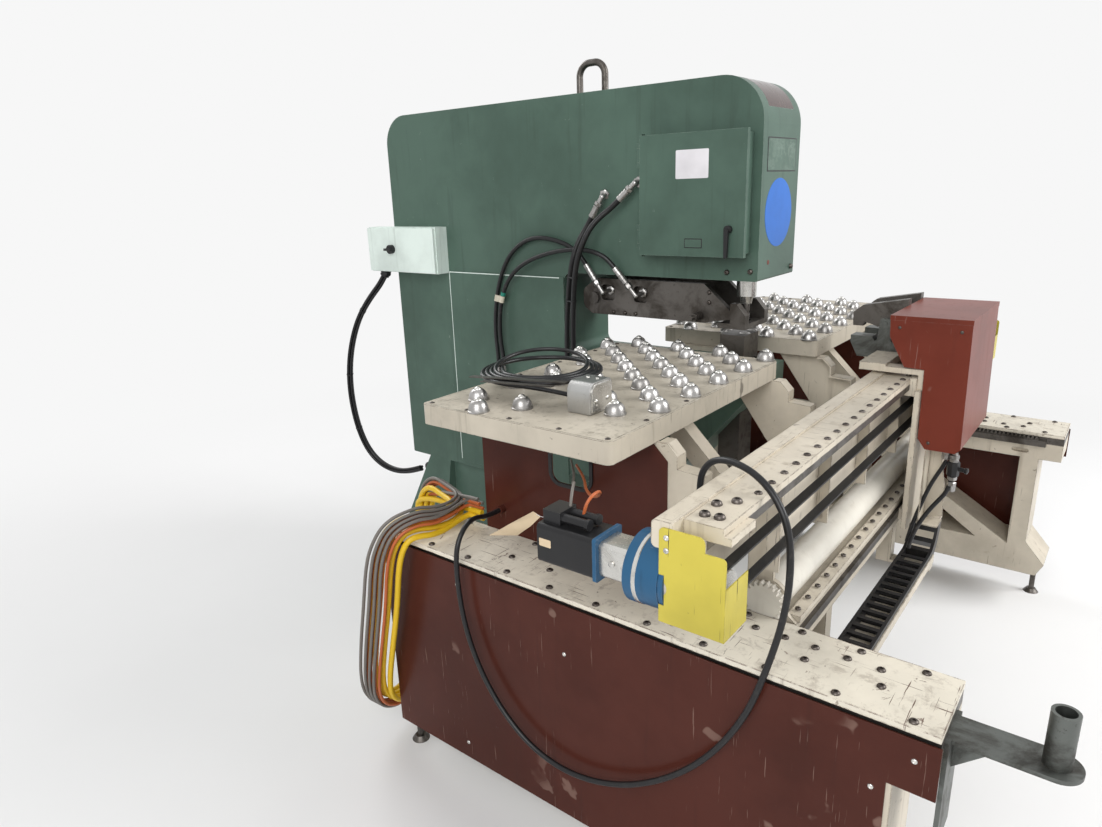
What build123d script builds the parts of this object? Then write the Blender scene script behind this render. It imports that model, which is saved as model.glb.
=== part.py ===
from build123d import *
import math
import os

# A hydraulic sheet metal punching press with a table and a gantry that carries the sheet.
# Millimetres. Z is up, X runs along the gantry, Y runs from the gantry back to the column.
# While the pieces are made, X = 0 and Y = 0 are the punch's axis and Z = 0 is the floor.

os.makedirs("parts", exist_ok=True)

# Press frame
frame_width = 264
throat_depth = 600
column_depth = 846
frame_top_z = 1837
arm_underside_z = 1281
nose_reach = 90
nose_corner_radius = 128
back_corner_radius = 105
throat_corner_radius = 30
jaw_top_z = 1002
jaw_reach = 78
jaw_nose_depth = 66
jaw_root_z = 560
jaw_heel_y = 236
column_foot_z = 480
stand_width = 220
stand_front_setback = 60
stand_back_setback = 102
stand_flare = 136
stand_flare_z = 150
stand_flare_width = 380
floor_plate_width = 430
floor_plate_thick = 25
floor_plate_margin = 30
anchor_hole_radius = 11
anchor_inset = 34

# Nose window, column cover, lifting loop
window_width = 176
window_thick = 3
window_turn = 52
window_proud = 1
cover_thick = 5
cover_top_z = 1264
cover_bottom_z = 497
cover_depth = 548
loop_bar_radius = 11
loop_inner_width = 78
loop_height = 96
loop_y = 562

# Control box with its door and handle
box_back_y = 264
box_length = 328
box_bottom_z = 1362
box_height = 322
box_depth = 46
box_wall = 3
door_thick = 14
door_gap = 1.5
door_lip = 9
hinge_pin_radius = 4
hinge_knuckle_radius = 7
hinge_knuckle_length = 40
hinge_inset_z = 45
handle_z = 1430
handle_inset_y = 46
handle_boss_radius = 11
handle_boss_length = 12
handle_bar_length = 78
handle_bar_width = 13
handle_bar_thick = 9

# Switch box at the column's back
switch_box_front_y = 1152
switch_box_length = 382
switch_box_bottom_z = 1258
switch_box_height = 172
switch_box_depth = 58
switch_lid_thick = 12
switch_knob_radius = 17
switch_knob_thick = 16
switch_grip_thick = 9
switch_grip_depth = 14

# Stripper arm, ram, punch and die
stripper_arm_reach = 12
stripper_pivot_y = 507
stripper_pivot_z = 1196
stripper_pin_radius = 14
stripper_plate_thick = 20
stripper_plate_gap = 130
stripper_top_z = 1262
stripper_bottom_z = 1142
stripper_chamfer = 88
stripper_foot_z = 1130
stripper_foot_thick = 16
stripper_foot_depth = 74
stripper_bore_radius = 17
stripper_lug_width = 122
slot_length = 52
slot_height = 52
slot_centres_y = (452, 326)
slot_centre_z = 1216
port_flange_radius = 34
port_flange_thick = 4
ram_radius = 30
ram_length = 160
ram_collar_radius = 21
ram_collar_length = 24
punch_radius = 12.5
punch_tip_radius = 10
punch_length = 48
punch_tip_z = 1149
die_top_z = 1105
die_radius = 17
die_height = 26
holder_width = 104
holder_front_y = -22
holder_depth = 80
seat_gap = 0.3
slug_bore_radius = 20

# Tables and ball units
table_top_z = 1067
table_outer_x = 1009
table_gap = 310
table_front_y = -173
table_depth = 550
table_skirt = 50
table_rim = 6
table_corner = 16
table_tube = 40
ball_pitch_x = 148
ball_pitch_y = 140
ball_first_x = 170
ball_first_y = -141
ball_cup_radius = 26
ball_cup_neck = 23
ball_cup_mouth = 13
ball_cup_shoulder = 14
ball_cup_height = 28
ball_radius = 11
ball_rise = 6
cup_sides = 8

# Side bases
base_inner_x = 824
base_width = 185
base_front_y = -817
base_length = 1390
base_top_z = 678
base_plate_thick = 12
base_strip_z = 640
base_rail_height = 60
base_leg = 58
base_leg_inset = 66
base_sill_z = 135
base_sill_height = 105
base_brace = 56
base_frame_step = 8
panel_thick = 3
panel_bottom_z = 70
panel_notch_z = 550
foot_radius = 26
foot_thick = 14
foot_stem_radius = 9
foot_inset_x = 30
foot_inset_y = 36

# Guide rail and rack on the inner side of each base
guide_width = 32
guide_height = 20
guide_z = 636
guide_setback = 50
rack_width = 14
rack_module = 4
rack_height = 12
rack_front_teeth = 25
rack_back_teeth = 10
pinion_teeth = 21

# Front arm
arm_plate_width = 76
arm_plate_thick = 8
arm_plate_z = 650
arm_post_y = -970
arm_post_radius = 21
arm_post_bore = 15.5
arm_post_height = 98
arm_gusset_thick = 8
arm_gusset_length = 62
arm_gusset_height = 70
arm_flange_height = 230
arm_flange_width = 104

# Brackets, braces and panels under the tables
bracket_flange = 40
bracket_thick = 6
shelf_lap = 40
shelf_ys = (60, 330)
shelf_thick = 30
cross_beam_size = 80
cross_beam_y = -250
cross_beam_z = 740
cross_beam_foot = 60
brace_size = 50
brace_x = 560
table_panel_front_y = -200
table_panel_length = 556
table_panel_chamfer = 42
panel_window_y = (8, 122)
panel_window_z = (862, 985)
panel_window_radius = 26
seal_width = 9
seal_proud = 4
chute_width = 92
chute_wall = 3
chute_front_y = -14
chute_depth = 70
chute_bottom_z = 640
chute_cut = 24

# Gantry
beam_half_length = 1208
beam_back_y = -387
beam_width = 40
beam_height = 50
beam_top_z = 1035
beam_wall = 4
beam_corner = 9
beam_cap = 3
rail_plate_setback = 36
rail_plate_width = 72
rail_plate_thick = 14
rail_plate_top_z = 1030
x_rail_width = 20
x_rail_height = 16
web_thick = 3
web_y = -443
web_bottom_z = 850
web_corner = 34
rib_pitch = 283
rib_count = 7
rib_thick = 6
rib_depth = 27
rib_bottom_z = 800
end_plate_x = 787
end_plate_thick = 12
lower_beam_height = 70
lower_beam_front_y = -495
lower_plate_front_y = -499
lower_plate_width = 28
lower_plate_thick = 14
lower_rail_width = 10
lower_rail_height = 20
lower_rail_drop = 24
tube_radius = 38
tube_bore = 32
tube_y = -429
shoe_length = 58
shoe_lip = 15.7
run_gap = 0.3
hanger_size = 40
hanger_xs = (0, -560)

# Belt drive of the carriage
pulley_inset = 58
pulley_z = 911
pulley_radius = 30
pulley_width = 22
pulley_flange = 3
belt_width = 20
belt_thick = 4
belt_front_y = -495
shaft_radius = 9.5
gearbox_radius = 65
gearbox_length = 60
gearbox_back_y = -352
ring_length = 18
bell_length = 78
bell_size = 66
motor_flange = 86
motor_flange_thick = 8
motor_size = 80
motor_length = 130
motor_plug_radius = 9
motor_plug_length = 58
motor_plug_spread = 15
drive_plate_thick = 12
guard_thick = 2
guard_front_y = -523
guard_bottom_z = 851
guard_step_z = 999
guard_step_y = -486
guard_top_z = 1025
guard_flange_height = 94
guard_flange_depth = 84
guard_notch_radius = 15

# Tray and energy chain
tray_start_x = -748
tray_end_x = 30
tray_floor_z = 482
tray_thick = 3
tray_wall = 22
chain_back_y = -516
chain_width = 76
chain_height = 34
chain_side = 8
chain_link_pitch = 40
chain_bar = 14
chain_bar_thick = 5
chain_turn_radius = 78

# Carriage
carriage_x = -60
carriage_length = 390
carriage_plate_back_y = -516
carriage_plate_thick = 14
carriage_plate_bottom_z = 600
chain_bend_x = -17
carriage_plate_top_z = 1003
block_length = 80
block_inset = 12
block_top_z = 1034
cover_x = -47
cover_length = 365
cover_wall = 2
cover_front_y = -640
cover_high_front_y = -634
cover_back_y = -435
cover_lid_z = 1187
cover_lid_thick = 13
cover_step_z = 1062
cover_low_z = 841
clamp_xs = (150, 290)
clamp_width = 50
clamp_tip_y = -283
clamp_back_y = -434
clamp_pivot_y = -378
clamp_pivot_z = 1146
clamp_base_z = 1042
clamp_sheet_z = 1104
clamp_arm_height = 40
clamp_arm_lift = 12
clamp_pin_radius = 6
clamp_bar_back_y = -362
clamp_bar_front_y = -432
clamp_bar_z = 1042
fold_back_y = -555
fold_front_y = -606
fold_bottom_z = 620
fold_width = 62
fold_thick = 3

# Cords
loop_cable_radius = 6.5
gland_radius = 10
gland_length = 28
arm_hose_radius = 9
stripper_hose_radius = 7.5
hose_nut_thick = 14
hose_seat_z = 885
switch_bundle_radius = 14
switch_gland_radius = 18
switch_gland_length = 32
stand_gland_length = 60
coil_band_radius = 42
coil_seam = 1
table_coil_x = -725
table_coil_y = 236
table_coil_radius = 172
table_coil_bore = 112
table_coil_height = 26
connector_x = (-880, -791)
connector_y = (-36, 30)
connector_height = 72
connector_corner = 22

# The loop cable's route, chosen by hand
loop_cable_points = [
    (-955, -345, 982), (-955, -345, 1010), (-958, -355, 1036), (-964, -374, 1056), (-973, -401, 1067),
    (-985, -436, 1069), (-1000, -474, 1063), (-1014, -509, 1046), (-1026, -538, 1016), (-1031, -554, 974),
    (-1032, -559, 924), (-1032, -558, 866), (-1032, -550, 804), (-1032, -536, 740), (-1033, -519, 674),
    (-1033, -498, 606), (-1034, -466, 536), (-1034, -424, 466), (-1034, -370, 398), (-1034, -300, 332),
    (-1035, -216, 276), (-1035, -122, 239), (-1035, -28, 229), (-1035, 60, 251), (-1034, 136, 303),
    (-1034, 194, 372), (-1034, 234, 448), (-1034, 258, 528), (-1035, 267, 606), (-1036, 268, 670),
    (-1032, 267, 718), (-1012, 269, 750), (-978, 275, 768), (-940, 284, 764), (-892, 293, 746),
    (-845, 293, 746),
]

# The frame's hoses: each bent fitting as wall point, corner and ferrule end, and the route between two
low_arm_hose_top = (-126, 430, 1534), (-160, 420, 1524), (-163, 458, 1464)
low_arm_hose_foot = (-132, 576, hose_seat_z), (-157, 576, hose_seat_z), (-157, 576, hose_seat_z + 55)
low_arm_hose_points = [
    (-163, 458, 1464), (-164.5, 477.2, 1433.6), (-176, 495, 1401), (-186, 508, 1367), (-192, 518, 1328),
    (-190, 529, 1286), (-183, 542, 1239), (-174, 553, 1189), (-166, 564, 1134), (-161, 571, 1080),
    (-158, 575, 1028), (-157, 576, 983), (-157, 576, hose_seat_z + 55),
]
high_arm_hose_top = (-126, 302, 1567), (-160, 300, 1562), (-166, 353, 1515)
high_arm_hose_foot = (-132, 540, hose_seat_z), (-168, 540, hose_seat_z), (-168, 540, hose_seat_z + 55)
high_arm_hose_points = [
    (-166, 353, 1515), (-168.9, 378.3, 1492.5), (-181, 405, 1471), (-194, 428, 1448), (-205, 447, 1418),
    (-213, 464, 1380), (-214, 482, 1336), (-207, 498, 1286), (-198, 511, 1232), (-189, 521, 1174),
    (-179, 531, 1112), (-172, 538, 1050), (-168, 540, 992), (-168, 540, hose_seat_z + 55),
]
front_stripper_hose_top = (-63, 326, 1220), (-135, 312, 1219), (-150, 383, 1306)
front_stripper_hose_foot = (-137, 864, hose_seat_z), (-166, 864, hose_seat_z), (-166, 864, hose_seat_z + 50)
front_stripper_hose_points = [
    (-150, 383.2, 1306.2), (-154.5, 404.3, 1332.1), (-163, 434, 1350), (-167, 467, 1359), (-168, 503, 1362),
    (-168, 544, 1361), (-168, 590, 1356), (-168, 639, 1346), (-168, 692, 1331), (-168, 740, 1312),
    (-168, 778, 1289), (-168, 809, 1262), (-168, 835, 1227), (-168, 855, 1183), (-168, 868, 1130),
    (-168, 873, 1073), (-168, 871, 1016), (-166, 864, 972), (-166, 864, hose_seat_z + 50),
]
back_stripper_hose_top = (-63, 452, 1222), (-135, 440, 1223), (-147, 497, 1313)
back_stripper_hose_foot = (-137, 903, hose_seat_z), (-152, 903, hose_seat_z), (-152, 903, hose_seat_z + 50)
back_stripper_hose_points = [
    (-147, 497.2, 1313.3), (-150.8, 515.1, 1341.5), (-150, 545, 1362), (-149, 578, 1377), (-149, 612, 1387),
    (-150, 648, 1394), (-150, 689, 1397), (-150, 732, 1391), (-150, 774, 1373), (-150, 813, 1345),
    (-150, 844, 1308), (-150, 870, 1261), (-150, 889, 1208), (-150, 902, 1153), (-150, 910, 1090),
    (-151, 910, 1028), (-152, 903, 974), (-152, 903, hose_seat_z + 50),
]

# The tied bundle of cables from the switch box to the column's foot
switch_bundle_points = [
    (-161, 1500, 1236), (-170, 1513, 1208), (-182, 1542, 1175), (-194, 1580, 1132), (-205, 1630, 1070),
    (-210, 1680, 985), (-208, 1729, 873), (-200, 1760, 750), (-188, 1769, 630), (-172, 1763, 522),
    (-155, 1735, 430), (-138, 1672, 370), (-121, 1590, 350), (-106, 1516, 362), (-96, 1460, 384),
    (-90, 1414, 400),
]

# The middle line of the coil hung over the left base's back corner, once round
hung_coil_points = [
    (-845, 450, 720.6), (-905, 425, 720.6), (-968, 436, 724), (-1024, 460, 736), (-1062, 486, 698),
    (-1071, 508, 632), (-1067, 530, 560), (-1064, 552, 480), (-1064, 574, 396), (-1062, 596, 312),
    (-1056, 617, 230), (-1036, 632, 158), (-992, 640, 112), (-935, 642, 108), (-884, 641, 148),
    (-852, 640, 222), (-833, 639, 310), (-820, 638, 405), (-812, 638, 500), (-808, 642, 590),
    (-806, 644, 668), (-808, 604, 730), (-818, 530, 722),
]

# Values worked out from the driving dimensions
half_frame = frame_width / 2
column_back_y = throat_depth + column_depth
base_outer_x = base_inner_x + base_width
base_back_y = base_front_y + base_length
base_mid_x = base_inner_x + base_width / 2
base_rail_z = base_strip_z - base_rail_height
frame_inner_x = base_inner_x + base_frame_step
frame_outer_x = base_outer_x - panel_thick
base_plate_z = base_top_z - base_plate_thick
table_inner_x = table_gap / 2
table_back_y = table_front_y + table_depth
skirt_bottom_z = table_top_z - table_skirt
box_x = -half_frame - box_depth
door_x = box_x - door_gap - door_thick
die_bore_radius = punch_tip_radius + run_gap
arm_end_y = arm_post_y - arm_plate_width / 2
pinion_radius = rack_module * pinion_teeth / 2
rack_pitch = math.pi * rack_module
rack_bottom_z = guide_z + guide_height
rack_pitch_z = rack_bottom_z + rack_height - rack_module
tube_z = rack_pitch_z + pinion_radius + 0.25
beam_bottom_z = beam_top_z - beam_height
beam_front_y = beam_back_y - beam_width
rail_plate_half_length = beam_half_length - rail_plate_setback
pulley_x = beam_half_length - pulley_inset
plate_front_y = beam_front_y - rail_plate_width
plate_bottom_z = rail_plate_top_z - rail_plate_thick
x_rail_z = plate_bottom_z - x_rail_height
lower_beam_top_z = tube_z - tube_radius - 5
lower_beam_z = lower_beam_top_z - lower_beam_height
lower_plate_top_z = lower_beam_top_z + lower_plate_thick
stand_back_y = column_back_y - stand_back_setback
foot_back_y = stand_back_y + stand_flare
floor_plate_back_y = foot_back_y + floor_plate_margin
floor_plate_front_y = throat_depth + stand_front_setback - floor_plate_margin
switch_box_back_y = switch_box_front_y + switch_box_length
middle_y = (arm_end_y + max(floor_plate_back_y, switch_box_back_y)) / 2
guide_inner_x = frame_inner_x - guide_width
rack_x = guide_inner_x + (guide_width - rack_width) / 2 - 1
pinion_inner_x = rack_x - 1
belt_outer_radius = pulley_radius + run_gap + belt_thick
belt_mid_y = belt_front_y + belt_width / 2
cover_end_x = cover_x + cover_length
carriage_front_y = carriage_plate_back_y - carriage_plate_thick
chain_front_y = chain_back_y - chain_width
tray_front_y = chain_front_y - tray_thick
chain_end_z = tray_floor_z + seat_gap + chain_turn_radius + chain_height


def block(x_span, y_span, z_span):
    """A square block between two limits on each axis."""
    spans = (x_span, y_span, z_span)
    size = [high - low for low, high in spans]
    middle = [(high + low) / 2 for low, high in spans]
    return Pos(*middle) * Box(*size)


def profile(plane, points, radii):
    """A closed outline on a plane, with a radius for each corner where radii are given."""
    if radii is None:
        edge = Polyline(points, close=True)
    else:
        edge = FilletPolyline(points, radius=radii, close=True)
    return plane * make_face(edge)


def along_x(points, x_from, x_to, radii=None):
    """An outline in Y and Z, drawn out along X."""
    face = Pos(x_from, 0, 0) * profile(Plane.YZ, points, radii)
    return extrude(face, amount=x_to - x_from, dir=(1, 0, 0))


def along_y(points, y_from, y_to, radii=None):
    """An outline in X and Z, drawn out along Y."""
    face = Pos(0, y_from, 0) * profile(Plane.XZ, points, radii)
    return extrude(face, amount=y_to - y_from, dir=(0, 1, 0))


def along_z(points, z_from, z_to, radii=None):
    """An outline in X and Y, drawn out along Z."""
    face = Pos(0, 0, z_from) * profile(Plane.XY, points, radii)
    return extrude(face, amount=z_to - z_from, dir=(0, 0, 1))


def rod(axis, centre, radius, length):
    """A round bar, centred on a point, along X, Y or Z."""
    turn = {"X": Rot(0, 90, 0), "Y": Rot(90, 0, 0), "Z": Rot(0, 0, 0)}[axis]
    return Pos(*centre) * turn * Cylinder(radius, length)


def tube(axis, centre, radius, bore, length):
    """A round tube, centred on a point, along X, Y or Z."""
    return rod(axis, centre, radius, length) - rod(axis, centre, bore, length + 2)


def both_sides(piece):
    """A piece at the left side and its mirror image at the right side."""
    return [piece, mirror(piece, about=Plane.YZ)]


def write(name, *pieces):
    """Writes one sub-part, moved so that the origin lies under the middle of the machine."""
    solids = []
    for piece in pieces:
        solids.extend((Pos(0, -middle_y, 0) * piece).solids())
    export_step(Compound(solids), f"parts/{name}.step")


def corner_radii(points, share=0.45):
    """The radius of each corner of a route: a share of its shorter run over the half turn's tangent."""
    radii = []
    for before, here, after in zip(points, points[1:], points[2:]):
        first = Vector(*here) - Vector(*before)
        second = Vector(*after) - Vector(*here)
        half_turn = math.radians(first.get_angle(second) / 2)
        radii.append(share * min(first.length, second.length) / math.tan(half_turn))
    return radii


def bar_between(start, end, radius):
    """A round bar from one point to another."""
    way = Vector(*end) - Vector(*start)
    return Plane(origin=start, z_dir=way) * Cylinder(radius, way.length, align=(Align.CENTER, Align.CENTER, Align.MIN))


def gland(end, beside, length):
    """The round gland that a cable bundle ends in, in line with the bundle's last run."""
    way = (Vector(*end) - Vector(*beside)).normalized()
    return bar_between(end, tuple(Vector(*end) + way * length), switch_gland_radius)


def hose_fitting(spots, hose_radius):
    """A bent fitting: the nut on the wall, the elbow, and the ferrule that grips the hose."""
    wall, corner, end = spots
    way = Vector(*corner) - Vector(*wall)
    nut_end = Vector(*wall) + way.normalized() * hose_nut_thick
    leg = Vector(*end) - Vector(*corner)
    ferrule_start = Vector(*corner) + leg * 0.45
    body = bar_between(wall, corner, hose_radius - 1)
    body += Pos(*corner) * Sphere(hose_radius)
    body += bar_between(wall, tuple(nut_end), hose_radius + 5)
    body += bar_between(corner, end, hose_radius - 1)
    return body + bar_between(tuple(ferrule_start), end, hose_radius + 2)


def cord(name, points, radius):
    """A plain tube along straight runs joined by tangent arcs, with its figures printed."""
    radii = corner_radii(points)
    path = FilletPolyline(points, radius=radii)
    start = Vector(*points[0])
    way = Vector(*points[1]) - start
    body = sweep(Plane(origin=start, z_dir=way) * Circle(radius), path=path)
    expected = math.pi * radius * radius * path.length
    print(name, "length", round(path.length), "volume ratio", round(body.volume / expected, 4),
          "least radius in diameters", round(min(radii) / radius / 2, 1))
    return body


# Press frame


def press_frame():
    """The C-shaped frame: arm, column and lower jaw, with the stand that it is welded to."""
    outline = [
        (-nose_reach, arm_underside_z),
        (-nose_reach, frame_top_z),
        (column_back_y, frame_top_z),
        (column_back_y, column_foot_z),
        (throat_depth, column_foot_z),
        (throat_depth, jaw_root_z),
        (jaw_heel_y, jaw_root_z),
        (-jaw_reach, jaw_top_z - jaw_nose_depth),
        (-jaw_reach, jaw_top_z),
        (throat_depth, jaw_top_z),
        (throat_depth, arm_underside_z),
    ]
    radii = [6, nose_corner_radius, back_corner_radius, 4, 4, 20, 60, 14, 4, throat_corner_radius,
             throat_corner_radius]
    frame = along_x(outline, -half_frame, half_frame, radii)
    frame -= rod("Z", (0, 0, jaw_top_z - jaw_nose_depth), slug_bore_radius, 2 * jaw_nose_depth + 90)
    frame -= window_cut(window_thick)
    frame += stand()
    frame += stripper_lug()
    for spots in (low_arm_hose_top, low_arm_hose_foot, high_arm_hose_top, high_arm_hose_foot):
        frame += hose_fitting(spots, arm_hose_radius)
    return frame + gland(switch_bundle_points[-1], switch_bundle_points[-2], stand_gland_length)


def stand():
    """The welded foot under the column, flared at the back, with its floor plate."""
    front_y = throat_depth + stand_front_setback
    core = block((-stand_width / 2, stand_width / 2), (front_y, stand_back_y - 120),
                 (floor_plate_thick, column_foot_z))
    side = [
        (stand_back_y - 120, column_foot_z),
        (stand_back_y, column_foot_z),
        (foot_back_y, stand_flare_z),
        (foot_back_y, floor_plate_thick),
        (stand_back_y - 120, floor_plate_thick),
    ]
    front = [
        (-half_frame, column_foot_z),
        (half_frame, column_foot_z),
        (stand_flare_width / 2, stand_flare_z),
        (stand_flare_width / 2, floor_plate_thick),
        (-stand_flare_width / 2, floor_plate_thick),
        (-stand_flare_width / 2, stand_flare_z),
    ]
    heel = along_x(side, -stand_flare_width / 2, stand_flare_width / 2)
    heel &= along_y(front, front_y, floor_plate_back_y)
    half = floor_plate_width / 2
    plate = block((-half, half), (floor_plate_front_y, floor_plate_back_y), (0, floor_plate_thick))
    for x in (-half + anchor_inset, half - anchor_inset):
        for y in (floor_plate_front_y + anchor_inset, floor_plate_back_y - anchor_inset):
            plate -= rod("Z", (x, y, floor_plate_thick / 2), anchor_hole_radius, floor_plate_thick + 2)
    return core + heel + plate


def stripper_lug():
    """The block under the arm that the stripper arm's pin goes through."""
    half = stripper_lug_width / 2
    low_z = stripper_pivot_z - stripper_pin_radius * 2
    lug = block((-half, half), (stripper_pivot_y - 34, stripper_pivot_y + 34), (low_z, arm_underside_z))
    bore = rod("X", (0, stripper_pivot_y, stripper_pivot_z), stripper_pin_radius + 0.05, stripper_lug_width + 2)
    return lug - bore


def window_cut(depth):
    """A curved band sunk in the nose's rounded corner, as deep as the window is thick."""
    centre = (0, -nose_reach + nose_corner_radius, frame_top_z - nose_corner_radius)
    outer = rod("X", centre, nose_corner_radius + 1, window_width)
    inner = rod("X", centre, nose_corner_radius - depth, window_width + 2)
    span = math.radians(window_turn)
    reach = 2 * nose_corner_radius
    lean = (math.pi / 2 - span) / 2
    wedge = along_x([
        (centre[1], centre[2]),
        (centre[1] - reach * math.cos(lean), centre[2] + reach * math.sin(lean)),
        (centre[1] - reach, centre[2] + reach),
        (centre[1] - reach * math.cos(lean + span), centre[2] + reach * math.sin(lean + span)),
    ], -window_width / 2, window_width / 2)
    return (outer - inner) & wedge


def nose_window():
    """The smoked sheet bent over the nose's corner."""
    centre = (0, -nose_reach + nose_corner_radius, frame_top_z - nose_corner_radius)
    skin = rod("X", centre, nose_corner_radius, frame_width)
    return window_cut(window_thick) & skin


def column_cover():
    """The flat cover on the near side of the column."""
    near_x = -half_frame - cover_thick
    cover = block((near_x, -half_frame), (throat_depth, throat_depth + cover_depth),
                  (cover_bottom_z, cover_top_z))
    for spots in (front_stripper_hose_foot, back_stripper_hose_foot):
        cover += hose_fitting(spots, stripper_hose_radius)
    return cover


def lifting_eye():
    """A bent round bar welded to the arm's top, with its two weld pads."""
    reach = loop_inner_width / 2 + loop_bar_radius
    pad_thick = 8
    base_z = frame_top_z + pad_thick
    points = [
        (0, loop_y - reach, base_z),
        (0, loop_y - reach, base_z + loop_height),
        (0, loop_y + reach, base_z + loop_height),
        (0, loop_y + reach, base_z),
    ]
    path = FilletPolyline(points, radius=[reach * 0.8, reach * 0.8])
    bar = sweep(Plane(origin=points[0], z_dir=(0, 0, 1)) * Circle(loop_bar_radius), path=path)
    pads = []
    for y in (loop_y - reach, loop_y + reach):
        pads.append(rod("Z", (0, y, frame_top_z + pad_thick / 2), loop_bar_radius * 1.8, pad_thick))
    return bar + pads[0] + pads[1]


# Control box and switch box


def knuckle_zs():
    """The heights of the door's two hinges."""
    top_z = box_bottom_z + box_height
    return (box_bottom_z + hinge_inset_z, top_z - hinge_inset_z)


def hinge_axis():
    """Where the door's hinge pins stand, in X and Y."""
    return (box_x - door_gap, box_back_y + hinge_knuckle_radius + 1)


def control_box():
    """The open-fronted box on the arm's near side, with hinge pins at its back edge."""
    front_y = box_back_y - box_length
    top_z = box_bottom_z + box_height
    shell = block((box_x, -half_frame), (front_y, box_back_y), (box_bottom_z, top_z))
    shell -= block((box_x - 1, -half_frame - box_wall), (front_y + box_wall, box_back_y - box_wall),
                   (box_bottom_z + box_wall, top_z - box_wall))
    x, y = hinge_axis()
    for z in knuckle_zs():
        leaf = block((x, box_x + 18), (box_back_y, box_back_y + 3), (z - 60, z + 60))
        leaf -= rod("Z", (x, y, z), hinge_knuckle_radius + run_gap, hinge_knuckle_length)
        pin = rod("Z", (x, y, z), hinge_pin_radius, hinge_knuckle_length + 24)
        for side in (-1, 1):
            ear_z = z + side * (hinge_knuckle_length / 2 + 7 + run_gap)
            ear = rod("Z", (x, y, ear_z), hinge_knuckle_radius, 14)
            ear += block((x, x + 6), (box_back_y, y), (ear_z - 7, ear_z + 7))
            shell += ear
        shell += leaf + pin
    return shell


def box_door():
    """The box's door: a shallow folded tray with two hinge knuckles."""
    front_y = box_back_y - box_length - door_lip
    top_z = box_bottom_z + box_height + door_lip
    low_z = box_bottom_z - door_lip
    back_y = box_back_y - 1
    door = block((door_x, door_x + door_thick), (front_y, back_y), (low_z, top_z))
    door -= block((door_x + box_wall, door_x + door_thick + 1), (front_y + box_wall, back_y - box_wall),
                  (low_z + box_wall, top_z - box_wall))
    x, y = hinge_axis()
    for z in knuckle_zs():
        knuckle = tube("Z", (x, y, z), hinge_knuckle_radius, hinge_pin_radius + 0.1, hinge_knuckle_length - 1)
        strap = block((x - hinge_knuckle_radius, x - hinge_knuckle_radius + box_wall), (back_y - 20, y),
                      (z - hinge_knuckle_length / 2 + 1, z + hinge_knuckle_length / 2 - 1))
        strap -= rod("Z", (x, y, z), hinge_knuckle_radius - 1, hinge_knuckle_length + 4)
        door += knuckle + strap
    boss_y = front_y + handle_inset_y
    door -= rod("X", (door_x, boss_y, handle_z), handle_boss_radius / 2 + run_gap, door_thick * 3)
    return door


def door_handle():
    """The swing handle: a boss through the door and a bar that hangs from it."""
    boss_y = box_back_y - box_length - door_lip + handle_inset_y
    out_x = door_x - run_gap
    boss = rod("X", (out_x - handle_boss_length / 2, boss_y, handle_z), handle_boss_radius, handle_boss_length)
    stem = rod("X", (out_x + door_thick / 2, boss_y, handle_z), handle_boss_radius / 2, door_thick)
    tip_z = handle_z - handle_bar_length
    half = handle_bar_width / 2
    bar = along_x([
        (boss_y - half, handle_z),
        (boss_y + half, handle_z),
        (boss_y + half * 0.7, tip_z),
        (boss_y - half * 0.7, tip_z),
    ], out_x - handle_boss_length - handle_bar_thick, out_x - handle_boss_length, [3, 3, 4, 4])
    return boss + stem + bar


def switch_box():
    """The pale isolator box that stands past the column's back edge, with its lid."""
    back_y = switch_box_front_y + switch_box_length
    top_z = switch_box_bottom_z + switch_box_height
    outer_x = -half_frame - switch_box_depth
    case = block((outer_x, -half_frame), (switch_box_front_y, back_y), (switch_box_bottom_z, top_z))
    lid = block((outer_x - switch_lid_thick, outer_x), (switch_box_front_y + 3, back_y - 3),
                (switch_box_bottom_z + 3, top_z - 3))
    knob_y, knob_z = switch_axis()
    lid -= rod("X", (outer_x, knob_y, knob_z), 6 + run_gap, switch_lid_thick * 4)
    case -= rod("X", (outer_x, knob_y, knob_z), 6 + run_gap, 40)
    case += gland(switch_bundle_points[0], switch_bundle_points[1], switch_gland_length)
    return case + lid


def switch_axis():
    """The switch knob's axis, in Y and Z."""
    return (switch_box_front_y + switch_box_length * 0.62, switch_box_bottom_z + switch_box_height * 0.52)


def switch_knob():
    """The isolator's rotary knob, with a grip bar across it."""
    y, z = switch_axis()
    face_x = -half_frame - switch_box_depth - switch_lid_thick - run_gap
    disc = rod("X", (face_x - switch_knob_thick / 2, y, z), switch_knob_radius, switch_knob_thick)
    stem = rod("X", (face_x + 15, y, z), 6, 30)
    grip_x = face_x - switch_knob_thick
    grip = block((grip_x - switch_grip_depth, grip_x), (y - switch_knob_radius, y + switch_knob_radius),
                 (z - switch_grip_thick / 2, z + switch_grip_thick / 2))
    return disc + stem + grip


# Tooling


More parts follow.
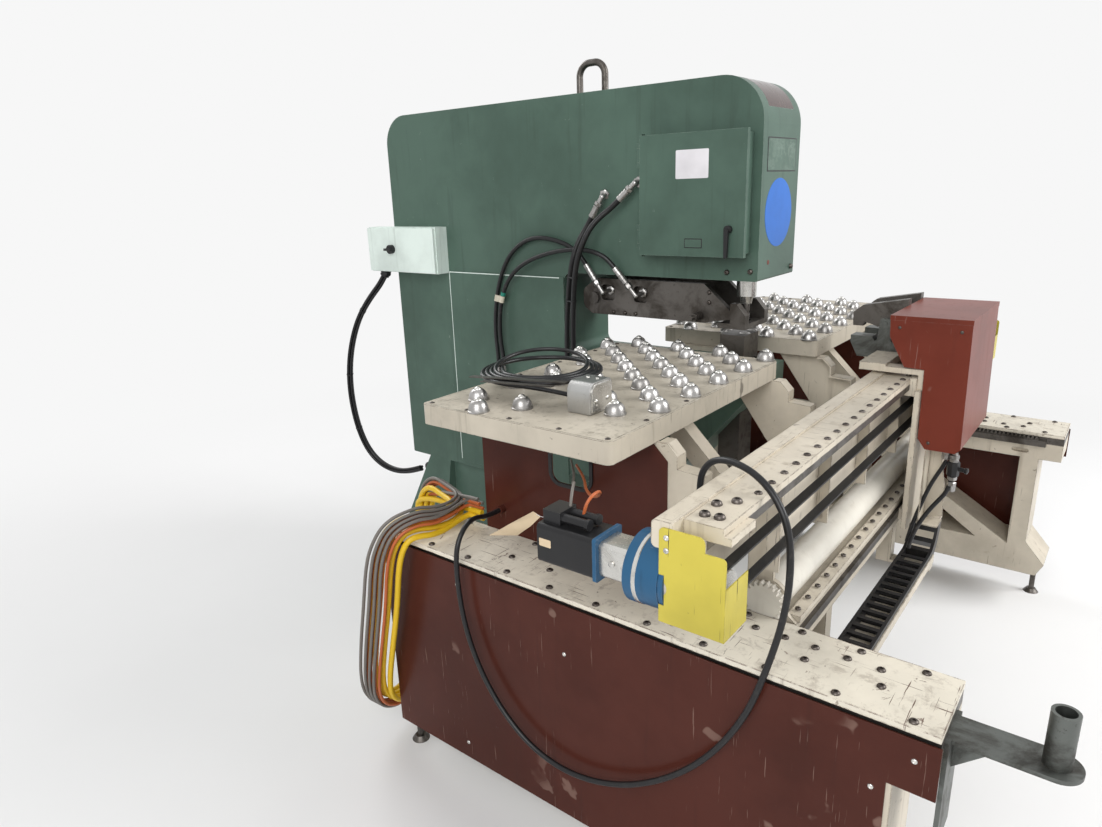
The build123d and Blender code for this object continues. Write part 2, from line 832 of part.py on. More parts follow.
def stripper_arm():
    """Two side plates on one pin, tied by cross bars and by the foot around the punch."""
    inner = stripper_plate_gap / 2
    tail = 46
    outline = [
        (stripper_arm_reach, stripper_bottom_z + 16),
        (stripper_arm_reach, stripper_top_z - stripper_chamfer + 10),
        (stripper_arm_reach + stripper_chamfer, stripper_top_z),
        (stripper_pivot_y - 10, stripper_top_z),
        (stripper_pivot_y + tail, stripper_pivot_z + 28),
        (stripper_pivot_y + tail, stripper_pivot_z - 30),
        (stripper_pivot_y + 10, stripper_bottom_z),
        (stripper_arm_reach + stripper_chamfer, stripper_bottom_z),
    ]
    radii = [3, 4, 4, 30, 26, 26, 16, 30]
    plate = along_x(outline, -inner - stripper_plate_thick, -inner, radii)
    hole = rod("X", (-inner, stripper_pivot_y, stripper_pivot_z), stripper_pin_radius + 0.05,
               stripper_plate_thick * 3)
    plate -= hole
    for y in slot_centres_y:
        half_y = slot_length / 2
        half_z = slot_height / 2
        slot = [
            (y - half_y, slot_centre_z - half_z),
            (y + half_y, slot_centre_z - half_z),
            (y + half_y, slot_centre_z + half_z),
            (y - half_y, slot_centre_z + half_z),
        ]
        plate -= along_x(slot, -inner - stripper_plate_thick - 1, -inner + 1, [12, 12, 12, 12])
    arm = plate + mirror(plate, about=Plane.YZ)
    for y in (130, 420):
        arm += block((-inner, inner), (y - 16, y + 16), (stripper_bottom_z + 4, stripper_bottom_z + 28))
    for y, spots in zip(slot_centres_y, (back_stripper_hose_top, front_stripper_hose_top)):
        flange_x = -inner + port_flange_thick / 2
        arm += rod("X", (flange_x, y, slot_centre_z), port_flange_radius, port_flange_thick)
        arm += hose_fitting(spots, stripper_hose_radius)
    return arm + stripper_foot() + stripper_adjuster()


def stripper_foot():
    """The forked foot: two uprights and a plate with the punch's hole."""
    half = stripper_plate_gap / 2 + stripper_plate_thick
    front_y = -stripper_foot_depth / 2
    plate = block((-half, half), (front_y, stripper_arm_reach + 40),
                  (stripper_foot_z, stripper_foot_z + stripper_foot_thick))
    plate -= rod("Z", (0, 0, stripper_foot_z), stripper_bore_radius, stripper_foot_thick * 4)
    top_z = stripper_top_z - 56
    upright = along_x([
        (front_y, stripper_foot_z + stripper_foot_thick),
        (stripper_arm_reach, stripper_foot_z + stripper_foot_thick),
        (stripper_arm_reach, top_z),
        (front_y + 30, top_z),
        (front_y, top_z - 34),
    ], -half, -half + stripper_plate_thick + 8)
    return plate + upright + mirror(upright, about=Plane.YZ)


def stripper_adjuster():
    """The sprung stop screw that stands out of the near plate's foot."""
    near_x = -stripper_plate_gap / 2 - stripper_plate_thick
    y = 112
    z = stripper_bottom_z + 22
    screw = rod("X", (near_x - 32, y, z), 8, 64)
    for step in range(4):
        screw += rod("X", (near_x - 10 - step * 11, y, z), 13, 6)
    return screw


def stripper_pin():
    """The pin that carries the stripper arm."""
    length = stripper_plate_gap + stripper_plate_thick * 2 + 16
    pin = rod("X", (0, stripper_pivot_y, stripper_pivot_z), stripper_pin_radius, length)
    for side in (-1, 1):
        x = side * (length / 2 - 3)
        pin += rod("X", (x, stripper_pivot_y, stripper_pivot_z), stripper_pin_radius + 6, 6)
    return pin


def ram():
    """The ram's end below the arm, with the collar nut that holds the punch."""
    collar_z = punch_tip_z + punch_length
    body_z = collar_z + ram_collar_length
    body = rod("Z", (0, 0, body_z + ram_length / 2), ram_radius, ram_length)
    collar = Cone(ram_collar_radius, ram_collar_radius - 4, ram_collar_length)
    collar = Pos(0, 0, collar_z + ram_collar_length / 2) * Rot(180, 0, 0) * collar
    return body + collar


def ram_bore():
    """The bore in the arm that the ram slides in."""
    top_z = punch_tip_z + punch_length + ram_collar_length + ram_length
    depth = top_z - arm_underside_z + 6
    return rod("Z", (0, 0, arm_underside_z + depth / 2), ram_radius + run_gap, depth)


def punch():
    """The punch: a shank and a narrower tip."""
    shank_length = punch_length * 0.45
    tip_length = punch_length - shank_length
    tip = rod("Z", (0, 0, punch_tip_z + tip_length / 2), punch_tip_radius, tip_length)
    shank_z = punch_tip_z + tip_length + shank_length / 2
    return tip + rod("Z", (0, 0, shank_z), punch_radius, shank_length)


def die_holder():
    """The block on the lower jaw, bored for the die, with its two clamp bolts."""
    half = holder_width / 2
    back_y = holder_front_y + holder_depth
    holder = block((-half, half), (holder_front_y, back_y), (jaw_top_z, die_top_z))
    holder -= rod("Z", (0, 0, die_top_z - die_height / 2 + 1), die_radius, die_height + 2)
    holder -= rod("Z", (0, 0, (jaw_top_z + die_top_z) / 2), die_radius - 3, die_top_z - jaw_top_z)
    for x in (-half + 16, half - 16):
        holder += rod("Y", (x, holder_front_y - 4, jaw_top_z + 26), 8, 8)
    return holder


def die():
    """The round die in its holder."""
    z = die_top_z - die_height / 2
    return tube("Z", (0, 0, z), die_radius, die_bore_radius, die_height)


# Tables


def table_frame():
    """One table's welded frame: a deep rim with two cross tubes, open below."""
    xs = (-table_outer_x, -table_inner_x)
    outer = [
        (xs[0], table_front_y),
        (xs[1], table_front_y),
        (xs[1], table_back_y),
        (xs[0], table_back_y),
    ]
    radii = [table_corner] * 4
    rim = along_z(outer, skirt_bottom_z, table_top_z, radii)
    rim -= block((xs[0] + table_rim, xs[1] - table_rim), (table_front_y + table_rim, table_back_y - table_rim),
                 (skirt_bottom_z - 1, table_top_z + 1))
    tube_top_z = table_top_z - table_plate()
    for share in (0.3, 0.7):
        x = xs[0] + (xs[1] - xs[0]) * share
        rim += block((x - table_tube / 2, x + table_tube / 2),
                     (table_front_y + table_rim, table_back_y - table_rim), (skirt_bottom_z, tube_top_z))
    return rim


def table_plate():
    """The thickness of the table's top plate."""
    return table_rim + 2


def table_top():
    """The plate let into the rim, flush with its top edge."""
    gap = 1
    xs = (-table_outer_x + table_rim + gap, -table_inner_x - table_rim - gap)
    ys = (table_front_y + table_rim + gap, table_back_y - table_rim - gap)
    return block(xs, ys, (table_top_z - table_plate(), table_top_z))


def near_ball_places():
    """The near table's ball units: diagonal rows, the outer ones thinned out as on the real table."""
    step_x = ball_pitch_x / 2
    step_y = ball_pitch_y / 2
    rows = {0: (0,), 1: range(3), 2: range(5), 3: range(7), 4: range(8), 5: (0, 1, 3, 5, 6), 6: (1, 2),
            7: (1, 3), 8: (1, 2)}
    last_row = 7
    places = []
    for row, kept in rows.items():
        steps = min(2 * row, last_row)
        start_x = -ball_first_x - (2 * row - steps) * step_x
        for k in kept:
            places.append((start_x - k * step_x, ball_first_y + (steps - k) * step_y))
    return places


def far_ball_places():
    """The far table's ball units: a full staggered grid."""
    places = []
    for row in range(8):
        shift = (row % 2) * ball_pitch_x / 2
        for column in range(6 - row % 2):
            x = ball_first_x + shift + column * ball_pitch_x
            places.append((x, ball_first_y + row * ball_pitch_y / 2))
    return places


def many_sided(radii_and_heights):
    """An eight-sided stack of tapers, which stands for a small turned piece."""
    stack = None
    for (r0, z0), (r1, z1) in zip(radii_and_heights, radii_and_heights[1:]):
        low = Pos(0, 0, z0) * RegularPolygon(r0, cup_sides)
        high = Pos(0, 0, z1) * RegularPolygon(r1, cup_sides)
        layer = loft([low, high])
        stack = layer if stack is None else stack + layer
    return stack


def ball_units():
    """The domed cups and the balls that stand out of them."""
    cup = many_sided([
        (ball_cup_radius, 0),
        (ball_cup_neck, ball_cup_shoulder),
        (ball_cup_mouth, ball_cup_height),
    ])
    ball = many_sided([(ball_radius - 1, 0), (ball_radius - 5, ball_rise)])
    cups = []
    balls = []
    for x, y in near_ball_places() + far_ball_places():
        cups.append(Pos(x, y, table_top_z) * cup)
        balls.append(Pos(x, y, table_top_z + ball_cup_height) * ball)
    return cups, balls


def stepped_bracket():
    """A bracket under a table's front edge: a web with a stepped front flange."""
    ledge_z = table_top_z - 105
    front = table_front_y - 3
    edge = [
        (front, skirt_bottom_z),
        (front - 22, skirt_bottom_z),
        (front - 47, skirt_bottom_z - 26),
        (front - 47, ledge_z),
        (front - 112, ledge_z - 4),
        (front - 112, ledge_z - 26),
    ]
    beam_top_z = cross_beam_z + cross_beam_size / 2
    inner = [(y + bracket_thick, z) for y, z in reversed(edge)]
    back = [(cross_beam_y + cross_beam_size / 2, beam_top_z), (front + 140, skirt_bottom_z)]
    web = along_x(edge + [(cross_beam_y - cross_beam_size / 2, beam_top_z)] + back, 0, bracket_thick)
    flange_points = edge + [(edge[-1][0] + bracket_thick, edge[-1][1])]
    flange_points += [
        (front - 112 + bracket_thick, ledge_z - 4 - bracket_thick),
        (front - 47 + bracket_thick, ledge_z - bracket_thick),
        (front - 47 + bracket_thick, skirt_bottom_z - 29),
        (front - 22 + 3, skirt_bottom_z - bracket_thick),
        (front, skirt_bottom_z - bracket_thick),
    ]
    return web + along_x(flange_points, 0, bracket_flange)


def table_brackets():
    """Four brackets, one at each end of each table, and a shelf that ties each table to the jaw."""
    bracket = stepped_bracket()
    shelf_xs = (-table_inner_x - shelf_lap, -half_frame)
    left = [
        Pos(-base_inner_x, 0, 0) * bracket,
        Pos(-table_inner_x - bracket_flange, 0, 0) * bracket,
        block(shelf_xs, shelf_ys, (skirt_bottom_z - shelf_thick, skirt_bottom_z)),
    ]
    right = [mirror(piece, about=Plane.YZ) for piece in left]
    return left + right


def cross_beam():
    """The square tube between the bases, on its feet, with a brace up to each table."""
    half = cross_beam_size / 2
    reach = base_inner_x + cross_beam_foot
    ys = (cross_beam_y - half, cross_beam_y + half)
    zs = (cross_beam_z - half, cross_beam_z + half)
    beam = block((-reach, reach), ys, zs)
    beam -= block((-reach - 1, reach + 1), (ys[0] + 5, ys[1] - 5), (zs[0] + 5, zs[1] - 5))
    run = skirt_bottom_z - zs[1]
    brace = along_x([
        (ys[1] - brace_size * 1.4, zs[1]),
        (ys[1], zs[1]),
        (ys[1] + run, skirt_bottom_z),
        (ys[1] + run - brace_size * 1.4, skirt_bottom_z),
    ], -brace_x, -brace_x + brace_size)
    foot = block((-reach, -base_inner_x), ys, (base_top_z, zs[0]))
    pieces = [beam]
    for piece in (brace, foot):
        pieces.extend(both_sides(piece))
    return pieces


def table_panel():
    """The dark panel that stands on the base and carries the table's outer end."""
    back_y = table_panel_front_y + table_panel_length
    outline = [
        (table_panel_front_y, base_top_z),
        (back_y, base_top_z),
        (back_y, skirt_bottom_z),
        (table_panel_front_y + table_panel_chamfer, skirt_bottom_z),
        (table_panel_front_y, skirt_bottom_z - table_panel_chamfer),
    ]
    near_x = -base_inner_x - panel_thick
    panel = along_x(outline, near_x, -base_inner_x)
    end_x, end_y, end_z = loop_cable_points[-1]
    panel += rod("X", ((end_x + near_x) / 2, end_y, end_z), gland_radius, near_x - end_x)
    return panel - window_hole(near_x - 1, -base_inner_x + 1, 0)


def window_hole(x_from, x_to, grow):
    """The rounded window in the table's panel."""
    y0, y1 = panel_window_y
    z0, z1 = panel_window_z
    points = [(y0 - grow, z0 - grow), (y1 + grow, z0 - grow), (y1 + grow, z1 + grow), (y0 - grow, z1 + grow)]
    return along_x(points, x_from, x_to, [panel_window_radius + grow] * 4)


def window_seal():
    """The rubber edging round the window."""
    near_x = -base_inner_x - panel_thick
    front = window_hole(near_x - seal_proud, near_x, seal_width)
    return front - window_hole(near_x - seal_proud - 1, near_x + 1, 0)


def jaw_underside(y):
    """The height of the lower jaw's sloping underside at a place along it."""
    tip_z = jaw_top_z - jaw_nose_depth
    return tip_z + (jaw_root_z - tip_z) * (y + jaw_reach) / (jaw_heel_y + jaw_reach)


def slug_chute():
    """The folded chute under the lower jaw, cut to the jaw's slope at its top."""
    half = chute_width / 2
    front_y = chute_front_y
    back_y = chute_front_y + chute_depth
    side = [
        (front_y, jaw_underside(front_y)),
        (front_y, chute_bottom_z),
        (back_y, chute_bottom_z + chute_cut),
        (back_y, jaw_underside(back_y)),
    ]
    wall = chute_wall
    hollow = [
        (front_y + wall, jaw_top_z),
        (front_y + wall, chute_bottom_z - 20),
        (back_y - wall, chute_bottom_z - 20),
        (back_y - wall, jaw_top_z),
    ]
    return along_x(side, -half, half) - along_x(hollow, -half + wall, half - wall)


# Bases


def base_frame():
    """One side's welded frame of square tube, seen through the open side of the far base."""
    xs = (-frame_outer_x, -frame_inner_x)
    sill_top_z = base_sill_z + base_sill_height
    back_y = base_back_y
    outer = [
        (base_front_y, base_strip_z),
        (back_y, base_strip_z),
        (back_y, base_rail_z),
        (back_y - base_leg_inset + base_leg / 2, base_rail_z),
        (back_y - base_leg_inset + base_leg / 2, sill_top_z + 20),
        (back_y, sill_top_z - base_leg),
        (back_y - 22, base_sill_z),
        (base_front_y + 22, base_sill_z),
        (base_front_y, sill_top_z - base_leg),
        (base_front_y + base_leg_inset - base_leg / 2 + 29, sill_top_z + 20),
        (base_front_y + base_leg_inset - base_leg / 2 + 29, base_rail_z),
        (base_front_y, base_rail_z),
    ]
    frame = along_x(outer, xs[0], xs[1])
    front_leg_y = base_front_y + base_leg_inset + base_leg
    back_leg_y = back_y - base_leg_inset - base_leg / 2
    mid_y = (base_front_y + back_y) / 2
    front_bay = [
        (front_leg_y, base_rail_z),
        (front_leg_y, sill_top_z),
        (mid_y - base_leg / 2, sill_top_z),
        (mid_y - base_leg / 2, base_rail_z),
    ]
    back_bay = [
        (back_leg_y, base_rail_z),
        (back_leg_y, sill_top_z),
        (mid_y + base_leg / 2, sill_top_z),
        (mid_y + base_leg / 2, base_rail_z),
    ]
    for bay in (front_bay, back_bay):
        frame -= along_x(bay, xs[0] - 1, xs[1] + 1)
        frame += brace_in(bay, xs)
    slot = [(base_front_y + 100, base_rail_z + 18), (base_front_y + 152, base_rail_z + 18),
            (base_front_y + 152, base_rail_z + 32), (base_front_y + 100, base_rail_z + 32)]
    return frame - along_x(slot, xs[1] - 12, xs[1] + 1, [6.9] * 4)


def brace_in(bay, xs):
    """A diagonal from the middle leg's head to the foot of the bay's outer leg."""
    outer_foot = bay[1]
    middle_head = bay[3]
    run = abs(middle_head[0] - outer_foot[0])
    rise = middle_head[1] - outer_foot[1]
    side = 1 if middle_head[0] > outer_foot[0] else -1
    lean = base_brace * math.hypot(run, rise) / rise
    points = [
        outer_foot,
        (outer_foot[0] + side * lean, outer_foot[1]),
        (middle_head[0], middle_head[1] - base_brace * rise / run),
        middle_head,
    ]
    return along_x(points, xs[0] + 40, xs[1])


def base_plate():
    """The top plate of one base."""
    return block((-base_outer_x, -base_inner_x), (base_front_y, base_back_y), (base_plate_z, base_top_z))


def rack():
    """One toothed rack: a bar with straight-sided teeth along its top."""
    half_tooth = rack_pitch / 4
    slope = rack_module * math.tan(math.radians(20))
    root_z = rack_pitch_z - rack_module * 1.2
    tip_z = rack_pitch_z + rack_module * 0.95
    start_y = tube_y - rack_front_teeth * rack_pitch
    teeth = rack_front_teeth + rack_back_teeth
    back = 0.12
    points = [(start_y, rack_bottom_z)]
    for tooth in range(teeth):
        y = start_y + (tooth + 0.5) * rack_pitch
        points.append((y - half_tooth - slope * 1.2 + back, root_z))
        points.append((y - half_tooth + slope * 0.95 + back, tip_z))
        points.append((y + half_tooth - slope * 0.95 - back, tip_z))
        points.append((y + half_tooth + slope * 1.2 - back, root_z))
    points.append((start_y + teeth * rack_pitch, rack_bottom_z))
    return along_x(points, -rack_x - rack_width, -rack_x)


def y_rails():
    """Per side: the strip between plate and frame, the guide rail under it and the rack on the rail."""
    strip = block((-frame_outer_x + 6, -frame_inner_x), (base_front_y, base_back_y), (base_strip_z, base_plate_z))
    guide = block((-frame_inner_x, -guide_inner_x), (base_front_y + guide_setback, base_back_y - guide_setback),
                  (guide_z, guide_z + guide_height))
    pieces = []
    for piece in (strip, guide, rack()):
        pieces.extend(both_sides(piece))
    return pieces


def base_panel():
    """The outer panel of one base, cut away at the front below the notch."""
    notch_y = base_front_y + 76
    outline = [
        (base_front_y - 3, base_strip_z + 16),
        (base_back_y + 4, base_strip_z + 16),
        (base_back_y + 4, panel_bottom_z),
        (notch_y, panel_bottom_z),
        (notch_y, panel_notch_z),
        (base_front_y - 3, panel_notch_z),
    ]
    return along_x(outline, -base_outer_x, -frame_outer_x)


def levelling_feet():
    """Four screwed feet under each base."""
    feet = []
    for y in (base_front_y + foot_inset_y, base_back_y - foot_inset_y):
        x = -base_outer_x + foot_inset_x
        foot = Pos(x, y, foot_thick / 2) * Cone(foot_radius, foot_radius * 0.6, foot_thick)
        stem_length = base_sill_z - foot_thick
        foot += rod("Z", (x, y, foot_thick + stem_length / 2), foot_stem_radius, stem_length)
        foot += rod("Z", (x, y, base_sill_z - 8), foot_stem_radius * 1.8, 16)
        feet.extend(both_sides(foot))
    return feet


def front_arm():
    """The steel arm at a base's front end: flange, arm with a round end, gusset and pipe post."""
    half = arm_plate_width / 2
    post_x = -base_mid_x - 12
    top = along_z([
        (post_x + half, base_front_y - arm_gusset_thick),
        (post_x - half, base_front_y - arm_gusset_thick),
        (post_x - half, arm_end_y),
        (post_x + half, arm_end_y),
    ], arm_plate_z - arm_plate_thick, arm_plate_z, [0, 0, half - 0.1, half - 0.1])
    flange_xs = (post_x - arm_flange_width / 2, post_x + arm_flange_width / 2)
    flange = block(flange_xs, (base_front_y - arm_gusset_thick, base_front_y),
                   (arm_plate_z - arm_flange_height, arm_plate_z))
    low_z = arm_plate_z - arm_plate_thick
    wall_y = base_front_y - arm_gusset_thick
    gusset = along_x([
        (wall_y, low_z),
        (wall_y - arm_gusset_length, low_z),
        (wall_y - arm_gusset_length, low_z - 12),
        (wall_y, low_z - arm_gusset_height),
    ], post_x - arm_gusset_thick / 2, post_x + arm_gusset_thick / 2)
    post = rod("Z", (post_x, arm_post_y, arm_plate_z + arm_post_height / 2), arm_post_radius, arm_post_height)
    arm = top + flange + gusset + post
    depth = arm_post_height + arm_plate_thick
    return arm - rod("Z", (post_x, arm_post_y, arm_plate_z + arm_post_height - depth / 2), arm_post_bore,
                     depth + 2)


# Gantry


def gantry_beam():
    """The rectangular tube that carries the gantry, closed by a cap at each end, with a cable gland."""
    inner_x = beam_half_length - beam_cap
    outer = [
        (beam_front_y, beam_bottom_z),
        (beam_back_y, beam_bottom_z),
        (beam_back_y, beam_top_z),
        (beam_front_y, beam_top_z),
    ]
    wall = beam_wall
    inner = [
        (beam_front_y + wall, beam_bottom_z + wall),
        (beam_back_y - wall, beam_bottom_z + wall),
        (beam_back_y - wall, beam_top_z - wall),
        (beam_front_y + wall, beam_top_z - wall),
    ]
    corners = [1, beam_corner, beam_corner, 1]
    beam = along_x(outer, -beam_half_length, beam_half_length, corners)
    return beam - along_x(inner, -inner_x, inner_x) + cable_gland(loop_cable_points[0])


def cable_gland(end):
    """The gland behind the beam that the loop cable comes up from, on its bracket."""
    x, y, z = end
    half = gland_radius + 6
    bracket = block((x - half, x + half), (beam_back_y, beam_back_y + 4), (z - gland_length, beam_top_z - 12))
    web = block((x - 4, x + 4), (beam_back_y, y), (z - gland_length, z - 4))
    return bracket + web + rod("Z", (x, y, z - gland_length / 2), gland_radius, gland_length)


def upper_plate():
    """The plate that carries the upper rail, doubled near its ends, with the belt's stop brackets."""
    xs = (-rail_plate_half_length, rail_plate_half_length)
    plate = block(xs, (plate_front_y, beam_front_y), (plate_bottom_z, rail_plate_top_z))
    ends = []
    for side in (-1, 1):
        x0, x1 = sorted((side * rail_plate_half_length, side * (rail_plate_half_length - 92)))
        ends.append(block((x0, x1), (plate_front_y - 14, beam_front_y), (plate_bottom_z - 14, plate_bottom_z)))
    return plate + ends[0] + ends[1]


def gantry_web():
    """The folded web panels between the upper plate and the belt, with their ribs."""
    half_span = rib_pitch * (rib_count - 1) / 2
    pieces = []
    for number in range(rib_count):
        x = -half_span + number * rib_pitch
        pieces.append(block((x - rib_thick / 2, x + rib_thick / 2), (web_y - rib_depth, web_y),
                            (rib_bottom_z, plate_bottom_z)))
    for number in range(rib_count - 1):
        x0 = -half_span + number * rib_pitch - rib_thick / 2
        x1 = x0 + rib_pitch + rib_thick
        panel = along_y([
            (x0, web_bottom_z),
            (x1, web_bottom_z - 36),
            (x1, plate_bottom_z),
            (x0, plate_bottom_z),
        ], web_y, web_y + web_thick, [web_corner, 0, 0, 0])
        pieces.append(panel)
    web = pieces[0]
    for piece in pieces[1:]:
        web += piece
    return web


def lower_beam():
    """The lower tube and the strip on it, with the hangers that carry the chain's tray."""
    reach = end_plate_x
    ys = (lower_beam_front_y, lower_beam_front_y + lower_beam_height)
    beam = block((-reach, reach), ys, (lower_beam_z, lower_beam_top_z))
    beam -= block((-reach - 1, reach + 1), (ys[0] + beam_wall, ys[1] - beam_wall),
                  (lower_beam_z + beam_wall, lower_beam_top_z - beam_wall))
    for x in hanger_xs:
        low_z = tray_floor_z - tray_thick - 10
        post_ys = (ys[0] + 6, ys[0] + 6 + hanger_size)
        beam += block((x - hanger_size / 2, x + hanger_size / 2), post_ys, (low_z, lower_beam_z))
        beam += block((x - hanger_size / 2, x + hanger_size / 2), (tray_front_y, post_ys[0]),
                      (low_z, low_z + 10))
    return beam


def lower_plate():
    """The strip of plate on the lower tube."""
    return block((-end_plate_x, end_plate_x), (lower_plate_front_y, lower_plate_front_y + lower_plate_width),
                 (lower_beam_top_z, lower_plate_top_z))


def x_rails():
    """The two steel rails that the carriage runs on."""
    reach = rail_plate_half_length - 96
    upper = block((-reach, reach), (plate_front_y, plate_front_y + x_rail_width), (x_rail_z, plate_bottom_z))
    rail_z = lower_beam_top_z - lower_rail_drop
    lower = block((-end_plate_x, end_plate_x), (lower_beam_front_y - lower_rail_width, lower_beam_front_y),
                  (rail_z - lower_rail_height / 2, rail_z + lower_rail_height / 2))
    return [upper, lower]


def gantry_end():
    """One end plate, round at the tube's bearing, and the two shoes that grip the base's guide rail."""
    x0 = -end_plate_x - end_plate_thick
    front_y = lower_beam_front_y
    back_y = beam_back_y + 4
    boss = pinion_radius + 3
    plate = along_x([
        (front_y, lower_beam_z - 6),
        (back_y, lower_beam_z - 6),
        (back_y, beam_bottom_z),
        (web_y + web_thick, beam_bottom_z),
        (web_y + web_thick, tube_z),
        (front_y, lower_beam_top_z),
    ], x0, -end_plate_x)
    plate += rod("X", (x0 + end_plate_thick / 2, tube_y, tube_z), boss, end_plate_thick)
    plate -= rod("X", (x0, tube_y, tube_z), tube_radius + run_gap, end_plate_thick * 4)
    end = plate
    for y in (front_y, back_y - shoe_length):
        shoe = block((-pinion_inner_x + run_gap, -end_plate_x), (y, y + shoe_length),
                     (guide_z - shoe_lip, guide_z + guide_height + 8))
        shoe -= block((-frame_inner_x, -guide_inner_x + run_gap), (y - 1, y + shoe_length + 1),
                      (guide_z - run_gap, guide_z + guide_height + run_gap))
        end += shoe
    return end - rod("X", (x0, tube_y, tube_z), tube_radius + run_gap, end_plate_thick * 4)


def gantry_ends():
    """The end plates with their shoes, both sides."""
    return both_sides(gantry_end())


def torque_tube():
    """The round tube that keeps both ends of the gantry level, with a pinion at each end."""
    shaft = tube("X", (0, tube_y, tube_z), tube_radius, tube_bore, pinion_inner_x * 2)
    gear = pinion()
    return shaft + gear + mirror(gear, about=Plane.YZ)


def pinion():
    """A spur gear whose teeth mesh with the rack, drawn with straight tooth sides."""
    outer = pinion_radius + rack_module * 0.95
    root = pinion_radius - rack_module * 1.2
    pitch_angle = 2 * math.pi / pinion_teeth
    points = []
    for tooth in range(pinion_teeth):
        middle = tooth * pitch_angle - math.pi / 2
        for radius, share in ((root, -0.36), (outer, -0.105), (outer, 0.105), (root, 0.36)):
            angle = middle + share * pitch_angle
            points.append((tube_y + radius * math.cos(angle), tube_z + radius * math.sin(angle)))
    return along_x(points, -rack_x - rack_width, -pinion_inner_x)


def drive_bracket():
    """The plate under the beam that carries the gearbox, or the idler at the far end."""
    half = gearbox_radius + 6
    outer_x = -beam_half_length + run_gap
    return along_y([
        (outer_x, pulley_z - half),
        (-pulley_x + half, pulley_z - half),
        (-pulley_x + half, beam_bottom_z),
        (outer_x, beam_bottom_z),
    ], gearbox_back_y - gearbox_length - drive_plate_thick, gearbox_back_y - gearbox_length, [14, 14, 0, 0])


def drive_brackets():
    """Both brackets, each with a bore for its shaft."""
    bore = rod("Y", (-pulley_x, gearbox_back_y - gearbox_length, pulley_z), shaft_radius + run_gap, 80)
    return both_sides(drive_bracket() - bore)


def gearbox():
    """The round planetary gearbox, its bright ring and the bell housing."""
    y = gearbox_back_y - gearbox_length / 2
    body = rod("Y", (-pulley_x, y, pulley_z), gearbox_radius, gearbox_length)
    body -= rod("Y", (-pulley_x, gearbox_back_y - gearbox_length, pulley_z), shaft_radius + run_gap, 60)
    step_y = gearbox_back_y - gearbox_length + 9
    body -= tube("Y", (-pulley_x, step_y, pulley_z), gearbox_radius + 2, gearbox_radius - 2, 3)
    ring_y = gearbox_back_y + ring_length / 2
    body += rod("Y", (-pulley_x, ring_y, pulley_z), gearbox_radius + 1.5, ring_length)
    bell_start = gearbox_back_y + ring_length
    flange_y = bell_start + bell_length
    half = bell_size / 2
    body += along_y([
        (-pulley_x - half, pulley_z - half),
        (-pulley_x + half, pulley_z - half),
        (-pulley_x + half, pulley_z + half),
        (-pulley_x - half, pulley_z + half),
    ], bell_start, flange_y, [16] * 4)
    half = motor_flange / 2
    body += along_y([
        (-pulley_x - half, pulley_z - half),
        (-pulley_x + half, pulley_z - half),
        (-pulley_x + half, pulley_z + half),
        (-pulley_x - half, pulley_z + half),
    ], flange_y - motor_flange_thick, flange_y, [5] * 4)
    return body


def motor():
    """The square servo motor with its two round plugs on top."""
    start_y = gearbox_back_y + ring_length + bell_length
    half = motor_size / 2
    body = along_y([
        (-pulley_x - half, pulley_z - half),
        (-pulley_x + half, pulley_z - half),
        (-pulley_x + half, pulley_z + half),
        (-pulley_x - half, pulley_z + half),
    ], start_y, start_y + motor_length, [9] * 4)
    top_z = pulley_z + half
    base_y = start_y + motor_length - 46
    body += block((-pulley_x - 26, -pulley_x + 26), (base_y, base_y + 40), (top_z, top_z + 2 * motor_plug_radius + 8))
    plug_z = top_z + motor_plug_radius + 4
    for shift in (-motor_plug_spread, motor_plug_spread):
        y = base_y - motor_plug_length / 2
        body += rod("Y", (-pulley_x + shift, y, plug_z), motor_plug_radius, motor_plug_length)
        body += rod("Y", (-pulley_x + shift, base_y - motor_plug_length, plug_z), motor_plug_radius + 2, 7)
    return body


def stadium(radius, y_from, y_to):
    """A long slot outline round both pulley axes, drawn out along Y."""
    face = Plane.XZ * Pos(0, pulley_z, 0) * SlotCenterToCenter(pulley_x * 2, radius * 2)
    return extrude(Pos(0, y_from, 0) * face, amount=y_to - y_from, dir=(0, 1, 0))


def drive_belt():
    """The flat belt round both pulleys."""
    ys = (belt_front_y, belt_front_y + belt_width)
    outer = stadium(belt_outer_radius, ys[0], ys[1])
    return outer - stadium(belt_outer_radius - belt_thick, ys[0] - 1, ys[1] + 1)


def pulley(x, shaft_back_y):
    """A pulley with two low flanges and its shaft."""
    wheel = rod("Y", (x, belt_mid_y, pulley_z), pulley_radius, pulley_width + 2)
    for side in (-1, 1):
        y = belt_mid_y + side * (pulley_width / 2 + 1 + pulley_flange / 2)
        wheel += rod("Y", (x, y, pulley_z), pulley_radius + 5, pulley_flange)
    front_y = belt_mid_y - pulley_width / 2 - pulley_flange
    length = shaft_back_y - front_y
    return wheel + rod("Y", (x, front_y + length / 2, pulley_z), shaft_radius, length)


